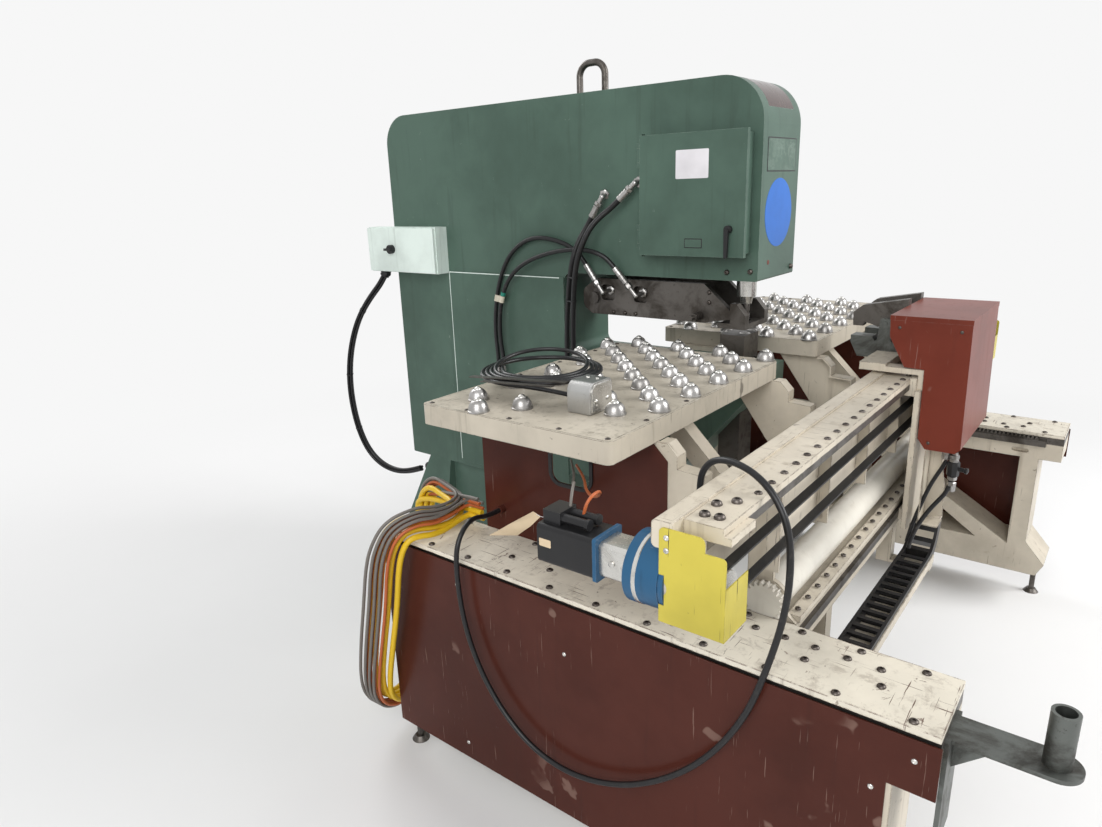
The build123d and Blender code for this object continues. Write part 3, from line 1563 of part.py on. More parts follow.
def near_guard():
    """The folded guard: a stepped side with a round notch, and a flange across the front."""
    x1 = -beam_half_length
    x0 = x1 - guard_thick
    back_y = beam_front_y + 24
    side = along_x([
        (back_y, guard_bottom_z),
        (back_y, guard_top_z),
        (guard_step_y, guard_top_z),
        (guard_step_y, guard_step_z),
        (guard_front_y, guard_step_z),
        (guard_front_y, guard_bottom_z),
    ], x0, x1, [2, 10, 12, 0, 8, 2])
    side -= rod("X", (x0, back_y, pulley_z + 3), guard_notch_radius, 12)
    side -= rod("Y", (-pulley_x, gearbox_back_y - gearbox_length / 2, pulley_z), gearbox_radius + 1,
                gearbox_length + 2)
    flange = block((x0, x0 + guard_flange_depth), (guard_front_y, guard_front_y + guard_thick),
                   (guard_bottom_z, guard_bottom_z + guard_flange_height))
    return side + flange


def belt_guards():
    """The guard at each end of the belt."""
    return both_sides(near_guard())


def chain_tray():
    """The tray under the energy chain, with a low front wall."""
    floor = block((tray_start_x, tray_end_x), (tray_front_y, chain_back_y), (tray_floor_z - tray_thick, tray_floor_z))
    wall = block((tray_start_x, tray_end_x), (tray_front_y, chain_front_y), (tray_floor_z, tray_floor_z + tray_wall))
    return floor + wall


def energy_chain():
    """The chain lying in its tray, then turning up to the carriage: side bands and cross bars."""
    x0 = tray_start_x + 6
    x1 = chain_bend_x
    low_z = tray_floor_z + seat_gap
    centre_z = low_z + chain_turn_radius + chain_height
    inner = chain_turn_radius
    outer = chain_turn_radius + chain_height
    run = make_face(Polyline([(x0, low_z), (x1, low_z), (x1, low_z + chain_height), (x0, low_z + chain_height)],
                             close=True))
    bend = Pos(x1, centre_z) * (Circle(outer) - Circle(inner))
    bend &= Pos(x1 + outer / 2, centre_z - outer / 2) * Rectangle(outer, outer)
    band = Plane.XZ * (run + bend)
    pieces = []
    for y in (chain_front_y, chain_back_y - chain_side):
        pieces.append(extrude(Pos(0, y, 0) * band, amount=chain_side, dir=(0, 1, 0)))
    ys = (chain_front_y, chain_back_y)
    bar_count = int((x1 - x0) / chain_link_pitch)
    top_z = low_z + chain_height
    for number in range(bar_count):
        x = x0 + (number + 0.5) * chain_link_pitch
        pieces.append(block((x - chain_bar / 2, x + chain_bar / 2), ys, (top_z - chain_bar_thick, top_z)))
        pieces.append(block((x - chain_bar / 2, x + chain_bar / 2), ys, (low_z, low_z + chain_bar_thick)))
    for angle in (-70, -45, -20):
        middle = (inner + outer) / 2
        turn = math.radians(angle)
        spot = Pos(x1 + middle * math.cos(turn), (ys[0] + ys[1]) / 2, centre_z + middle * math.sin(turn))
        pieces.append(spot * Rot(0, -angle, 0) * Box(chain_height, chain_width, chain_bar))
    chain = pieces[0]
    for piece in pieces[1:]:
        chain += piece
    return chain


# Carriage


def carriage_slide():
    """The carriage plate with upper and lower bearing blocks, the belt clamp and the clamps' rail."""
    x0 = carriage_x
    x1 = carriage_x + carriage_length
    slide = block((x0, x1), (carriage_front_y, carriage_plate_back_y),
                  (carriage_plate_bottom_z, carriage_plate_top_z))
    back_y = carriage_plate_back_y
    for x in (x0 + block_inset, x1 - block_inset - block_length):
        span = (x, x + block_length)
        slide += block(span, (back_y, plate_front_y + x_rail_width - 4), (x_rail_z - 16, x_rail_z - run_gap))
        slide += block(span, (back_y, plate_front_y - run_gap), (x_rail_z - run_gap, block_top_z))
        low_rail_z = lower_beam_top_z - lower_rail_drop
        face_y = lower_beam_front_y - lower_rail_width - run_gap
        slide += block(span, (back_y, face_y), (low_rail_z - 16, low_rail_z + 16))
    for x in (x0 + block_inset + block_length, x1 - block_inset - block_length - 8):
        slide += along_x([
            (back_y, x_rail_z - 8),
            (plate_front_y + x_rail_width - 6, x_rail_z - 8),
            (plate_front_y + x_rail_width - 6, x_rail_z - 16),
            (back_y, x_rail_z - 62),
        ], x, x + 8)
    chain_end_x = chain_bend_x + chain_turn_radius
    end_z = chain_end_z + run_gap
    slide += block((chain_end_x - 6, chain_end_x + chain_height + 6), (chain_front_y, chain_back_y),
                   (end_z, end_z + 8))
    strand_top_z = pulley_z + belt_outer_radius
    middle = (x0 + x1) / 2
    for z0, z1 in ((strand_top_z + run_gap, strand_top_z + 12), (strand_top_z - belt_thick - 12,
                                                                   strand_top_z - belt_thick - run_gap)):
        slide += block((middle - 40, middle + 40), (back_y, belt_front_y + belt_width), (z0, z1))
    return slide + clamp_rail()


def clamp_rail():
    """The bar behind the cover that carries the clamps, and the two arms that reach over the gantry."""
    x0 = cover_x + 6
    x1 = cover_end_x + 12
    bar = block((x0, x1), (clamp_bar_front_y, clamp_bar_back_y), (clamp_bar_z, clamp_bar_z + 22))
    for x in (x0, x1 - 40):
        arm = block((x, x + 40), (carriage_front_y, clamp_bar_front_y), (clamp_bar_z, clamp_bar_z + 16))
        arm += block((x, x + 40), (carriage_front_y, carriage_plate_back_y), (carriage_plate_top_z, clamp_bar_z))
        bar += arm
    return bar


def cover_outline(inset):
    """The cover's end outline in Y and Z, drawn in by an inset."""
    return [
        (cover_back_y - inset, cover_lid_z),
        (cover_back_y - 2 - inset, cover_step_z + 80),
        (cover_back_y - 45 - inset * 1.2, cover_step_z + inset),
        (carriage_front_y - 1 - inset, cover_step_z - 2 + inset),
        (carriage_front_y - 3 - inset, cover_low_z + 28),
        (carriage_front_y - 23 - inset * 0.6, cover_low_z + inset),
        (cover_front_y + 13 + inset * 0.6, cover_low_z + inset),
        (cover_front_y + inset, cover_low_z + 13 + inset * 0.5),
        (cover_high_front_y + inset, cover_lid_z),
    ]


def carriage_cover():
    """The folded cover over the carriage's front, open at the top for its lid."""
    cover = along_x(cover_outline(0), cover_x, cover_end_x)
    inner = cover_outline(cover_wall)
    inner[0] = (inner[0][0], cover_lid_z + 1)
    inner[-1] = (inner[-1][0], cover_lid_z + 1)
    return cover - along_x(inner, cover_x + cover_wall, cover_end_x - cover_wall)


def cover_lid():
    """The lid on the cover, with a folded edge all round."""
    lap = 1
    xs = (cover_x - lap, cover_end_x + lap)
    ys = (cover_high_front_y - lap, cover_back_y + lap)
    lid = block(xs, ys, (cover_lid_z, cover_lid_z + cover_lid_thick))
    wall = cover_wall
    return lid - block((xs[0] + wall, xs[1] - wall), (ys[0] + wall, ys[1] - wall),
                       (cover_lid_z - 1, cover_lid_z + cover_lid_thick - wall))


def clamp_body(x):
    """A clamp's lower jaw, with ears for the arm's pin."""
    half = clamp_width / 2
    base = along_x([
        (clamp_bar_front_y, clamp_bar_z + 22),
        (clamp_bar_back_y, clamp_bar_z + 22),
        (clamp_bar_back_y, clamp_base_z),
        (clamp_tip_y - 22, clamp_base_z),
        (clamp_tip_y, clamp_sheet_z - 20),
        (clamp_tip_y, clamp_sheet_z),
        (clamp_pivot_y + 34, clamp_sheet_z),
        (clamp_pivot_y + 26, clamp_sheet_z - 12),
        (clamp_bar_front_y, clamp_sheet_z - 12),
    ], x - half, x + half)
    ear_thick = 9
    for side in (-1, 1):
        x0, x1 = sorted((x + side * half, x + side * (half - ear_thick)))
        base += along_x([
            (clamp_pivot_y - 20, clamp_sheet_z - 12),
            (clamp_pivot_y + 20, clamp_sheet_z - 12),
            (clamp_pivot_y + 14, clamp_pivot_z + 14),
            (clamp_pivot_y - 14, clamp_pivot_z + 14),
        ], x0, x1, [0, 0, 10, 10])
    pin = rod("X", (x, clamp_pivot_y, clamp_pivot_z), clamp_pin_radius, clamp_width + 8)
    base += rod("Y", (x, clamp_bar_front_y + 20, clamp_sheet_z - 2), 10, 36)
    return base + pin


def clamp_jaw(x):
    """A clamp's upper arm between the ears, with a thick jaw at its tip."""
    half = clamp_width / 2 - 9 - run_gap
    rise = clamp_arm_lift
    arm = along_x([
        (clamp_tip_y, clamp_sheet_z + 46),
        (clamp_tip_y + 0, clamp_sheet_z + 46 + clamp_arm_height * 0.55),
        (clamp_tip_y - 26, clamp_sheet_z + 50 + clamp_arm_height),
        (clamp_back_y, clamp_sheet_z + 50 + clamp_arm_height + rise * 2),
        (clamp_back_y, clamp_sheet_z + 50 + rise * 2),
        (clamp_pivot_y + 22, clamp_pivot_z - 14),
        (clamp_pivot_y + 44, clamp_pivot_z - 6),
        (clamp_tip_y - 34, clamp_sheet_z + 40),
        (clamp_tip_y - 30, clamp_sheet_z + 28),
        (clamp_tip_y - 2, clamp_sheet_z + 28),
    ], x - half, x + half)
    return arm - rod("X", (x, clamp_pivot_y, clamp_pivot_z), clamp_pin_radius + 0.05, clamp_width * 2)


def carriage_fold():
    """The folded bracket under the cover, which guides the hoses down to the chain."""
    top_z = cover_low_z
    back = block((cover_x, cover_x + fold_width), (fold_back_y - fold_thick, fold_back_y), (fold_bottom_z, top_z))
    back += block((cover_x, cover_x + fold_width), (fold_front_y, fold_back_y),
                  (fold_bottom_z, fold_bottom_z + fold_thick))
    back += along_x([
        (fold_back_y, fold_bottom_z),
        (fold_front_y, fold_bottom_z + 14),
        (fold_front_y + 4, fold_bottom_z + 110),
        (fold_front_y + 24, top_z),
        (fold_back_y, top_z),
    ], cover_x + fold_width - fold_thick, cover_x + fold_width)
    return back


# Hoses and cables that the machine holds, as plain tubes


def hung_coil():
    """The coil over the left base's back corner, as one ring of its outer shape with a thin seam."""
    first = Vector(*hung_coil_points[0])
    last = Vector(*hung_coil_points[-1])
    middle = (first + last) / 2
    half_seam = (first - last).normalized() * coil_seam / 2
    points = [tuple(middle + half_seam)] + hung_coil_points + [tuple(middle - half_seam)]
    return cord("hung_coil", points, coil_band_radius)


def table_coil():
    """The cable coil that lies on the left table's ball units, as one ring of its outer shape."""
    low_z = table_top_z + ball_cup_height + ball_rise + seat_gap
    middle_z = low_z + table_coil_height / 2
    return tube("Z", (table_coil_x, table_coil_y, middle_z), table_coil_radius, table_coil_bore, table_coil_height)


def connector_hood():
    """The metal plug hood that stands on the left table at the coil's end."""
    low_z = table_top_z + seat_gap
    high_z = low_z + connector_height
    return along_y([
        (connector_x[0], low_z),
        (connector_x[0], high_z),
        (connector_x[1], high_z),
        (connector_x[1], low_z),
    ], connector_y[0], connector_y[1], [3, connector_corner, connector_corner / 2, 3])


def cord_pieces():
    """Each cord, coil or pair of like hoses, as its own node."""
    write("cable_loop", cord("cable_loop", loop_cable_points, loop_cable_radius))
    write("arm_hoses", cord("low_arm_hose", low_arm_hose_points, arm_hose_radius),
          cord("high_arm_hose", high_arm_hose_points, arm_hose_radius))
    write("stripper_hoses", cord("front_stripper_hose", front_stripper_hose_points, stripper_hose_radius),
          cord("back_stripper_hose", back_stripper_hose_points, stripper_hose_radius))
    write("switch_cables", cord("switch_bundle", switch_bundle_points, switch_bundle_radius))
    write("cable_coil", hung_coil())
    write("table_cables", table_coil(), connector_hood())


# Every sub-part, written in the order that the machine goes together


def main():
    write("press_frame", press_frame() - ram_bore())
    write("nose_window", nose_window())
    write("column_cover", column_cover())
    write("lifting_eye", lifting_eye())
    write("control_box", control_box())
    write("box_door", box_door())
    write("door_handle", door_handle())
    write("switch_box", switch_box())
    write("switch_knob", switch_knob())
    write("stripper_arm", stripper_arm())
    write("stripper_pin", stripper_pin())
    write("ram", ram())
    write("punch", punch())
    write("die_holder", die_holder())
    write("die", die())
    write("table_frames", *both_sides(table_frame()))
    write("table_tops", *both_sides(table_top()))
    cups, balls = ball_units()
    write("ball_cups", *cups)
    write("ball_tips", *balls)
    write("table_brackets", *table_brackets())
    write("cross_beam", *cross_beam())
    write("table_panels", *both_sides(table_panel()))
    write("window_seals", *both_sides(window_seal()))
    write("slug_chute", slug_chute())
    write("base_frames", *both_sides(base_frame()))
    write("base_plates", *both_sides(base_plate()))
    write("y_rails", *y_rails())
    write("base_panels", *both_sides(base_panel()))
    write("levelling_feet", *levelling_feet())
    write("front_arm", front_arm())
    write("gantry_beam", gantry_beam())
    write("upper_rail_plate", upper_plate())
    write("gantry_web", gantry_web())
    write("lower_beam", lower_beam())
    write("lower_rail_plate", lower_plate())
    write("x_rails", *x_rails())
    write("gantry_ends", *gantry_ends())
    write("torque_tube", torque_tube())
    write("drive_brackets", *drive_brackets())
    write("gearbox", gearbox())
    write("x_motor", motor())
    write("drive_belt", drive_belt())
    write("drive_pulley", pulley(-pulley_x, gearbox_back_y - gearbox_length + 24))
    write("idler_pulley", pulley(pulley_x, gearbox_back_y - gearbox_length + 6))
    write("belt_guards", *belt_guards())
    write("chain_tray", chain_tray())
    write("energy_chain", energy_chain())
    write("carriage_slide", carriage_slide())
    write("carriage_cover", carriage_cover())
    write("cover_lid", cover_lid())
    write("clamp_bodies", *[clamp_body(x) for x in clamp_xs])
    write("near_clamp_jaw", clamp_jaw(clamp_xs[0]))
    write("far_clamp_jaw", clamp_jaw(clamp_xs[1]))
    write("carriage_fold", carriage_fold())
    cord_pieces()


main()
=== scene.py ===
import math
import random

import bmesh
import bpy
from mathutils import Matrix, Vector


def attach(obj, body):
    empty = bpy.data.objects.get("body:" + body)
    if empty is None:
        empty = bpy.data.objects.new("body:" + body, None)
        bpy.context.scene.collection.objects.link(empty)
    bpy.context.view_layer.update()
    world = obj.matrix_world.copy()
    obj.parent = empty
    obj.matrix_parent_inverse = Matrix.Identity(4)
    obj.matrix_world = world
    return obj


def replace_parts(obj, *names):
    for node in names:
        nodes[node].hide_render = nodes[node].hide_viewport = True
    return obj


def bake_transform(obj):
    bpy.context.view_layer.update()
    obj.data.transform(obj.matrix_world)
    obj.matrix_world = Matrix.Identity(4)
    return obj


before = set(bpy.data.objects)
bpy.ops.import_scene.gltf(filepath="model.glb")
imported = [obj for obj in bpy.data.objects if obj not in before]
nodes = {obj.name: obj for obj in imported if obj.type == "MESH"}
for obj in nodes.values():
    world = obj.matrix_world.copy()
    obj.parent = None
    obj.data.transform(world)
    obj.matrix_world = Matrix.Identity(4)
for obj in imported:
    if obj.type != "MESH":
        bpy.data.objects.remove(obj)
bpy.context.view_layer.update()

# Sizes are in millimetres, as in the part's source: X = 0 and Y = 0 are the punch's axis, Z = 0 is the floor.
MM = 0.001
MIDDLE_Y = 263.0
TABLE_TOP_Z = 1067
BASE_TOP_Z = 678
HALF_FRAME = 132
NOSE_Y = -90
DOOR_X = -193.5

# The photo's camera, solved from its straight edges
CAMERA_AT = (-2192.5, -974, 1558)
CAMERA_RIGHT = (0.6172, -0.7861, -0.0334)
CAMERA_DOWN = (-0.2449, -0.1515, -0.9576)
CAMERA_AHEAD = (0.7477, 0.5992, -0.2860)
CAMERA_LENS = 24.72
CAMERA_SENSOR = 36

# Directions, with the nose to the front
UP = (0, 0, 1)
DOWN = (0, 0, -1)
LEFT = (-1, 0, 0)
RIGHT = (1, 0, 0)
FRONT = (0, -1, 0)


def at(x, y, z):
    """A place in millimetres from the punch's axis, as a point in the row frame in metres."""
    return Vector((x * MM, (y - MIDDLE_Y) * MM, z * MM))


def in_frame(route):
    """A list of places in millimetres, as points in the row frame."""
    return [at(*spot) for spot in route]


def added(name, data):
    """A new object in the scene."""
    piece = bpy.data.objects.new(name, data)
    bpy.context.scene.collection.objects.link(piece)
    return piece


# Camera


def make_camera():
    data = bpy.data.cameras.new("photo_camera")
    data.lens = CAMERA_LENS
    data.sensor_width = CAMERA_SENSOR
    camera = added("photo_camera", data)
    right, down, ahead = Vector(CAMERA_RIGHT), Vector(CAMERA_DOWN), Vector(CAMERA_AHEAD)
    turn = Matrix((right, -down, -ahead)).transposed().to_4x4()
    camera.matrix_world = Matrix.Translation(at(*CAMERA_AT)) @ turn
    bpy.context.scene.camera = camera


# Cords


def spline_curve(name, places, radius):
    """A round cord as one smooth spline: its places in metres, its radius in millimetres."""
    curve = bpy.data.curves.new(name, "CURVE")
    curve.dimensions = "3D"
    curve.bevel_depth = radius * MM
    curve.bevel_resolution = 5
    curve.use_fill_caps = True
    curve.resolution_u = 10
    spline = curve.splines.new("NURBS")
    spline.points.add(len(places) - 1)
    for control, place in zip(spline.points, places):
        control.co = (*place, 1)
    spline.order_u = 3
    spline.use_endpoint_u = True
    return added(name, curve)


def remove_curve(cord):
    """Removes a curve that only laid out a line."""
    curve = cord.data
    bpy.data.objects.remove(cord)
    bpy.data.curves.remove(curve)


def line_of(cord):
    """The points of a cord's own line, in metres, from a bare copy of its spline."""
    bare = cord.data.copy()
    bare.bevel_depth = 0
    holder = bpy.data.objects.new("bare_line", bare)
    line = bpy.data.meshes.new_from_object(holder)
    places = [v.co.copy() for v in line.vertices]
    bpy.data.meshes.remove(line)
    remove_curve(holder)
    return places


# Material building


def join(tree, value, socket):
    """Joins an output to a socket, or sets the socket's own value."""
    if isinstance(value, bpy.types.NodeSocket):
        tree.links.new(value, socket)
    else:
        socket.default_value = value


def add_node(tree, kind, inputs=None, **settings):
    """A new shader node with its settings, and with its inputs joined or set by name or number."""
    node = tree.nodes.new("ShaderNode" + kind)
    for name, value in settings.items():
        setattr(node, name, value)
    for name, value in (inputs or {}).items():
        join(tree, value, node.inputs[name])
    return node


class Graph:
    """A material's node tree, with short ways to add the nodes that the materials here use."""

    def __init__(self, name):
        self.material = bpy.data.materials.new(name)
        self.material.use_nodes = True
        self.tree = self.material.node_tree
        self.shader = self.tree.nodes["Principled BSDF"]
        self.coords = add_node(self.tree, "TexCoord").outputs["Object"]

    def set(self, name, value):
        """Joins an output to one of the shader's sockets, or sets that socket."""
        join(self.tree, value, self.shader.inputs[name])

    def out(self, output, kind, inputs=None, **settings):
        """One output of a new node."""
        return add_node(self.tree, kind, inputs, **settings).outputs[output]

    def mapped(self, scale, turn=(0, 0, 0)):
        """Object coordinates, turned and stretched."""
        return self.out("Vector", "Mapping", {"Vector": self.coords, "Scale": scale, "Rotation": turn})

    def noise(self, scale, detail=4, rough=0.55, warp=0.0, vector=None):
        inputs = {"Vector": vector or self.coords, "Scale": scale, "Detail": detail, "Roughness": rough,
                  "Distortion": warp}
        return self.out("Fac", "TexNoise", inputs)

    def step(self, value, low, high):
        """0 below the low value, 1 above the high one, smooth between them."""
        inputs = {"Value": value, "From Min": low, "From Max": high}
        return self.out("Result", "MapRange", inputs, interpolation_type="SMOOTHSTEP")

    def math(self, kind, a, b):
        return self.out(0, "Math", {0: a, 1: b}, operation=kind)

    def times(self, a, b):
        return self.math("MULTIPLY", a, b)

    def most(self, a, b):
        return self.math("MAXIMUM", a, b)

    def mix(self, share, a, b):
        """Colour a where the share is 0, colour b where it is 1."""
        return self.out("Result", "Mix", {"Factor": share, "A": rgba(a), "B": rgba(b)}, data_type="RGBA")

    def normal(self):
        return self.out("Normal", "NewGeometry")

    def edges(self, radius):
        """1 on sharp edges within a radius in metres, 0 on flat faces."""
        rounded = self.out("Normal", "Bevel", {"Radius": radius}, samples=4)
        alike = self.out("Value", "VectorMath", {0: rounded, 1: self.normal()}, operation="DOT_PRODUCT")
        return self.step(alike, 0.985, 0.9)

    def facing_up(self):
        """1 on faces that look up."""
        return self.step(self.out("Z", "SeparateXYZ", {0: self.normal()}), 0.6, 0.95)

    def bump(self, height, strength, distance):
        inputs = {"Strength": strength, "Distance": distance, "Height": height}
        self.set("Normal", self.out("Normal", "Bump", inputs))

    def colour(self, value):
        self.set("Base Color", rgba(value))

    def roughness(self, share, smooth, rough):
        """Roughness between two values, by a share."""
        inputs = {"Value": share, "To Min": smooth, "To Max": rough}
        self.set("Roughness", self.out("Result", "MapRange", inputs))


def rgba(value):
    """A colour with its alpha, where it is written as three numbers."""
    if isinstance(value, tuple) and len(value) == 3:
        return (*value, 1)
    return value


def scratch_lines(g, scale, turn, low, high):
    """Thin lines: noise that is stretched along one direction, where it is strongest."""
    return g.step(g.noise(1, 3, 0.5, 0, g.mapped(scale, turn)), low, high)


def paint(name, colour, dirt, chip_and_highlight_colour, smooth=0.38, rough=0.62, dirt_share=0.5, chips=0.5, edge=0.003,
          scratches=0.0, streaks=0.3, top_dirt=0.0, gloss=0.28):
    """Machine paint: uneven tone, grime, vertical streaks, chipped edges and scratches; on the green paint
    the pale edges are partly a painted edge highlight.

    Each layer is a noise, and the two numbers after it are the levels between which it fades in.
    """
    g = Graph(name)
    pale = tuple(min(1, c * 1.14 + 0.002) for c in colour)
    deep = tuple(c * 0.84 for c in colour)
    body = g.mix(g.step(g.noise(2.6, 5, 0.6), 0.35, 0.68), pale, deep)
    speckle = g.step(g.noise(46, 9, 0.72), 0.60, 0.74)
    patches = g.step(g.noise(5.5, 8, 0.66, 0.6), 0.46, 0.72)
    grime = g.times(patches, g.math("ADD", g.times(speckle, 0.7), 0.3))
    if top_dirt:
        spots = g.step(g.noise(19, 10, 0.75, 0.4), 0.52, 0.66)
        grime = g.most(grime, g.times(g.facing_up(), g.times(spots, top_dirt)))
    streak = g.step(g.noise(1, 6, 0.6, 0, g.mapped((34, 34, 2.2))), 0.55, 0.72)
    grime = g.most(g.times(grime, dirt_share), g.times(streak, streaks))
    body = g.mix(grime, body, dirt)
    # Chip colour on sharp edges: chipped paint, and on the green paint also a painted edge highlight.
    edge_wear_and_highlight = g.times(g.edges(edge), g.step(g.noise(38, 8, 0.7), 0.40, 0.56))
    flakes = g.step(g.noise(30, 9, 0.68, 1.1), 0.700 - 0.09 * chips, 0.712 - 0.09 * chips)
    paint_loss_and_highlight = g.most(g.times(edge_wear_and_highlight, min(1, chips * 1.6)), g.times(flakes, chips))
    if scratches:
        one_way = scratch_lines(g, (260, 9, 9), (0.3, 0.5, 0.62), 0.665, 0.70)
        other_way = scratch_lines(g, (9, 240, 9), (0.7, 0.2, -0.5), 0.675, 0.71)
        scuffed = g.step(g.noise(3.4, 3), 0.54 - 0.14 * scratches, 0.62 - 0.14 * scratches)
        paint_loss_and_highlight = g.most(paint_loss_and_highlight, g.times(g.times(g.most(one_way, other_way), scuffed), scratches))
    g.colour(g.mix(paint_loss_and_highlight, body, chip_and_highlight_colour))
    g.roughness(g.most(grime, paint_loss_and_highlight), smooth, rough)
    g.bump(g.math("SUBTRACT", g.times(g.noise(420, 2), 0.12), g.times(paint_loss_and_highlight, 0.8)), 0.35, 0.0006)
    g.set("Specular IOR Level", gloss)
    return g.material


def metal(name, colour, dark, smooth=0.25, rough=0.5, stain=0.5, grain=(1, 1, 1)):
    """Bare or oiled steel with stains and a fine grain."""
    g = Graph(name)
    stains = g.step(g.noise(9, 8, 0.68, 0.5), 0.42, 0.66)
    fine = g.noise(1, 4, 0.6, 0, g.mapped(tuple(260 * s for s in grain)))
    specks = g.step(g.noise(90, 6, 0.7), 0.58, 0.70)
    share = g.times(g.most(stains, g.times(specks, 0.7)), stain)
    g.colour(g.mix(share, colour, dark))
    g.roughness(g.most(share, g.times(fine, 0.4)), smooth, rough)
    g.bump(fine, 0.12, 0.0004)
    g.set("Metallic", 0.9)
    return g.material


def rubber(name, colour, dust, smooth=0.42, rough=0.7, amount=0.35):
    """Rubber or cable jacket with a little dust and scuffing."""
    g = Graph(name)
    scuff = g.step(g.noise(60, 7, 0.7, 0.3), 0.52, 0.72)
    share = g.times(g.times(scuff, g.step(g.noise(8, 4), 0.35, 0.7)), amount)
    g.colour(g.mix(share, colour, dust))
    g.roughness(share, smooth, rough)
    g.bump(g.noise(300, 3), 0.1, 0.0003)
    g.set("Specular IOR Level", 0.35)
    return g.material


def smoked_sheet():
    """The nose's smoked window: a dark brown gloss with fine scuffs."""
    g = Graph("smoked_sheet")
    scuff = g.step(g.noise(1, 4, 0.6, 0, g.mapped((90, 14, 14))), 0.5, 0.75)
    g.colour(g.mix(g.times(scuff, 0.3), (0.055, 0.030, 0.026), (0.24, 0.20, 0.18)))
    g.roughness(scuff, 0.14, 0.4)
    g.bump(scuff, 0.05, 0.0002)
    return g.material


# Mesh building


def new_piece(name, shape, body, materials, smooth_angle=None):
    """Turns a built shape into a piece that rides on a body."""
    bmesh.ops.recalc_face_normals(shape, faces=shape.faces)
    mesh = bpy.data.meshes.new(name)
    shape.to_mesh(mesh)
    shape.free()
    piece = added(name, mesh)
    for material in materials:
        mesh.materials.append(material)
    if smooth_angle:
        for face in mesh.polygons:
            face.use_smooth = True
        mesh.set_sharp_from_angle(angle=math.radians(smooth_angle))
    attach(piece, body)
    return piece


def skin(shape, rings, material=0, closed=False):
    """Faces between a stack of like rings of places in metres, with flat ends or closed into a loop."""
    made = [[shape.verts.new(spot) for spot in ring] for ring in rings]
    pairs = list(zip(made, made[1:])) + ([(made[-1], made[0])] if closed else [])
    for low, high in pairs:
        for k in range(len(low)):
            after = (k + 1) % len(low)
            shape.faces.new((low[k], low[after], high[after], high[k])).material_index = material
    if not closed:
        shape.faces.new(list(reversed(made[0]))).material_index = material
        shape.faces.new(made[-1]).material_index = material


def turn_to(axis):
    """The turn that brings the upward direction onto an axis."""
    return Vector(UP).rotation_difference(Vector(axis)).to_matrix()


def on_ring(start, turn, radius, share, height):
    """A place at a share of the way round a ring, about a turned axis from a start in metres."""
    angle = math.tau * share
    return start + turn @ (Vector((radius * math.cos(angle), radius * math.sin(angle), height)) * MM)


def turned(shape, profile, place, axis, segments=20, material=0):
    """A turned solid: a profile of (radius, height) in millimetres, spun round an axis from a place."""
    turn = turn_to(axis)
    start = at(*place)
    rings = []
    for radius, height in profile:
        count = segments if radius else 1
        rings.append([shape.verts.new(on_ring(start, turn, radius, k / count, height)) for k in range(count)])
    faces = [tuple(reversed(rings[0])), tuple(rings[-1])]
    for low, high in zip(rings, rings[1:]):
        for k in range(segments):
            after = (k + 1) % segments
            if len(low) == 1:
                faces.append((low[0], high[k], high[after]))
            elif len(high) == 1:
                faces.append((low[k], low[after], high[0]))
            else:
                faces.append((low[k], low[after], high[after], high[k]))
    for corners in faces:
        if len(corners) > 1:
            shape.faces.new(corners).material_index = material


# A button head's outline, as shares of its radius and height, then its socket's rim and floor
HEAD_SEGMENTS = 12
HEAD_PROFILE = ((1.0, -0.3), (1.0, 0.25), (0.86, 0.72), (0.62, 0.95), (0.44, 1.0))
SOCKET_LEVELS = (0.98, 0.45)
SOCKET_SHARE = 0.40


def socket_screw(shape, place, axis, radius, height, angle):
    """A button-head screw with a hexagon socket."""
    turn = turn_to(axis) @ Matrix.Rotation(angle, 3, "Z")
    hexagon = [SOCKET_SHARE * (math.cos(math.pi / 6) if k % 2 else 1) for k in range(HEAD_SEGMENTS)]
    levels = [([share] * HEAD_SEGMENTS, level) for share, level in HEAD_PROFILE]
    levels += [(hexagon, level) for level in SOCKET_LEVELS]
    skin(shape, [[on_ring(at(*place), turn, radius * share, k / HEAD_SEGMENTS, height * level)
                  for k, share in enumerate(shares)] for shares, level in levels])


def screws(name, places, axis, radius, body, material, height=None):
    """A group of like screws as one piece, each turned a little differently."""
    shape = bmesh.new()
    chance = random.Random(name)
    for place in places:
        socket_screw(shape, place, axis, radius, height or radius * 0.55, chance.uniform(0, 1))
    return new_piece(name, shape, body, [material], 35)


def paired_screws(name, places, radius, body, material, height=None):
    """Screws in a face that looks to the left, and the same ones on the right."""
    screws("near_" + name, places, LEFT, radius, body, material, height)
    screws("far_" + name, [(-x, y, z) for x, y, z in places], RIGHT, radius, body, material, height)


def slab(shape, corners, out, thick, material=0, inset=0.0):
    """A thin plate: corners in millimetres round its edge, raised along a direction, with a small bevel."""
    push = Vector(out).normalized() * thick * MM
    low = in_frame(corners)
    middle = sum(low, Vector()) / len(low)
    high = [spot + push + (middle - spot).normalized() * inset * MM for spot in low]
    skin(shape, [low, high], material)


def rounded_rectangle(half_u, half_v, corner, steps=5):
    """Points round a rectangle with rounded corners, about its middle."""
    points = []
    for side_u, side_v, start in ((1, 1, 0), (-1, 1, 90), (-1, -1, 180), (1, -1, 270)):
        for step in range(steps + 1):
            angle = math.radians(start + 90 * step / steps)
            points.append((side_u * (half_u - corner) + corner * math.cos(angle),
                           side_v * (half_v - corner) + corner * math.sin(angle)))
    return points


make_camera()
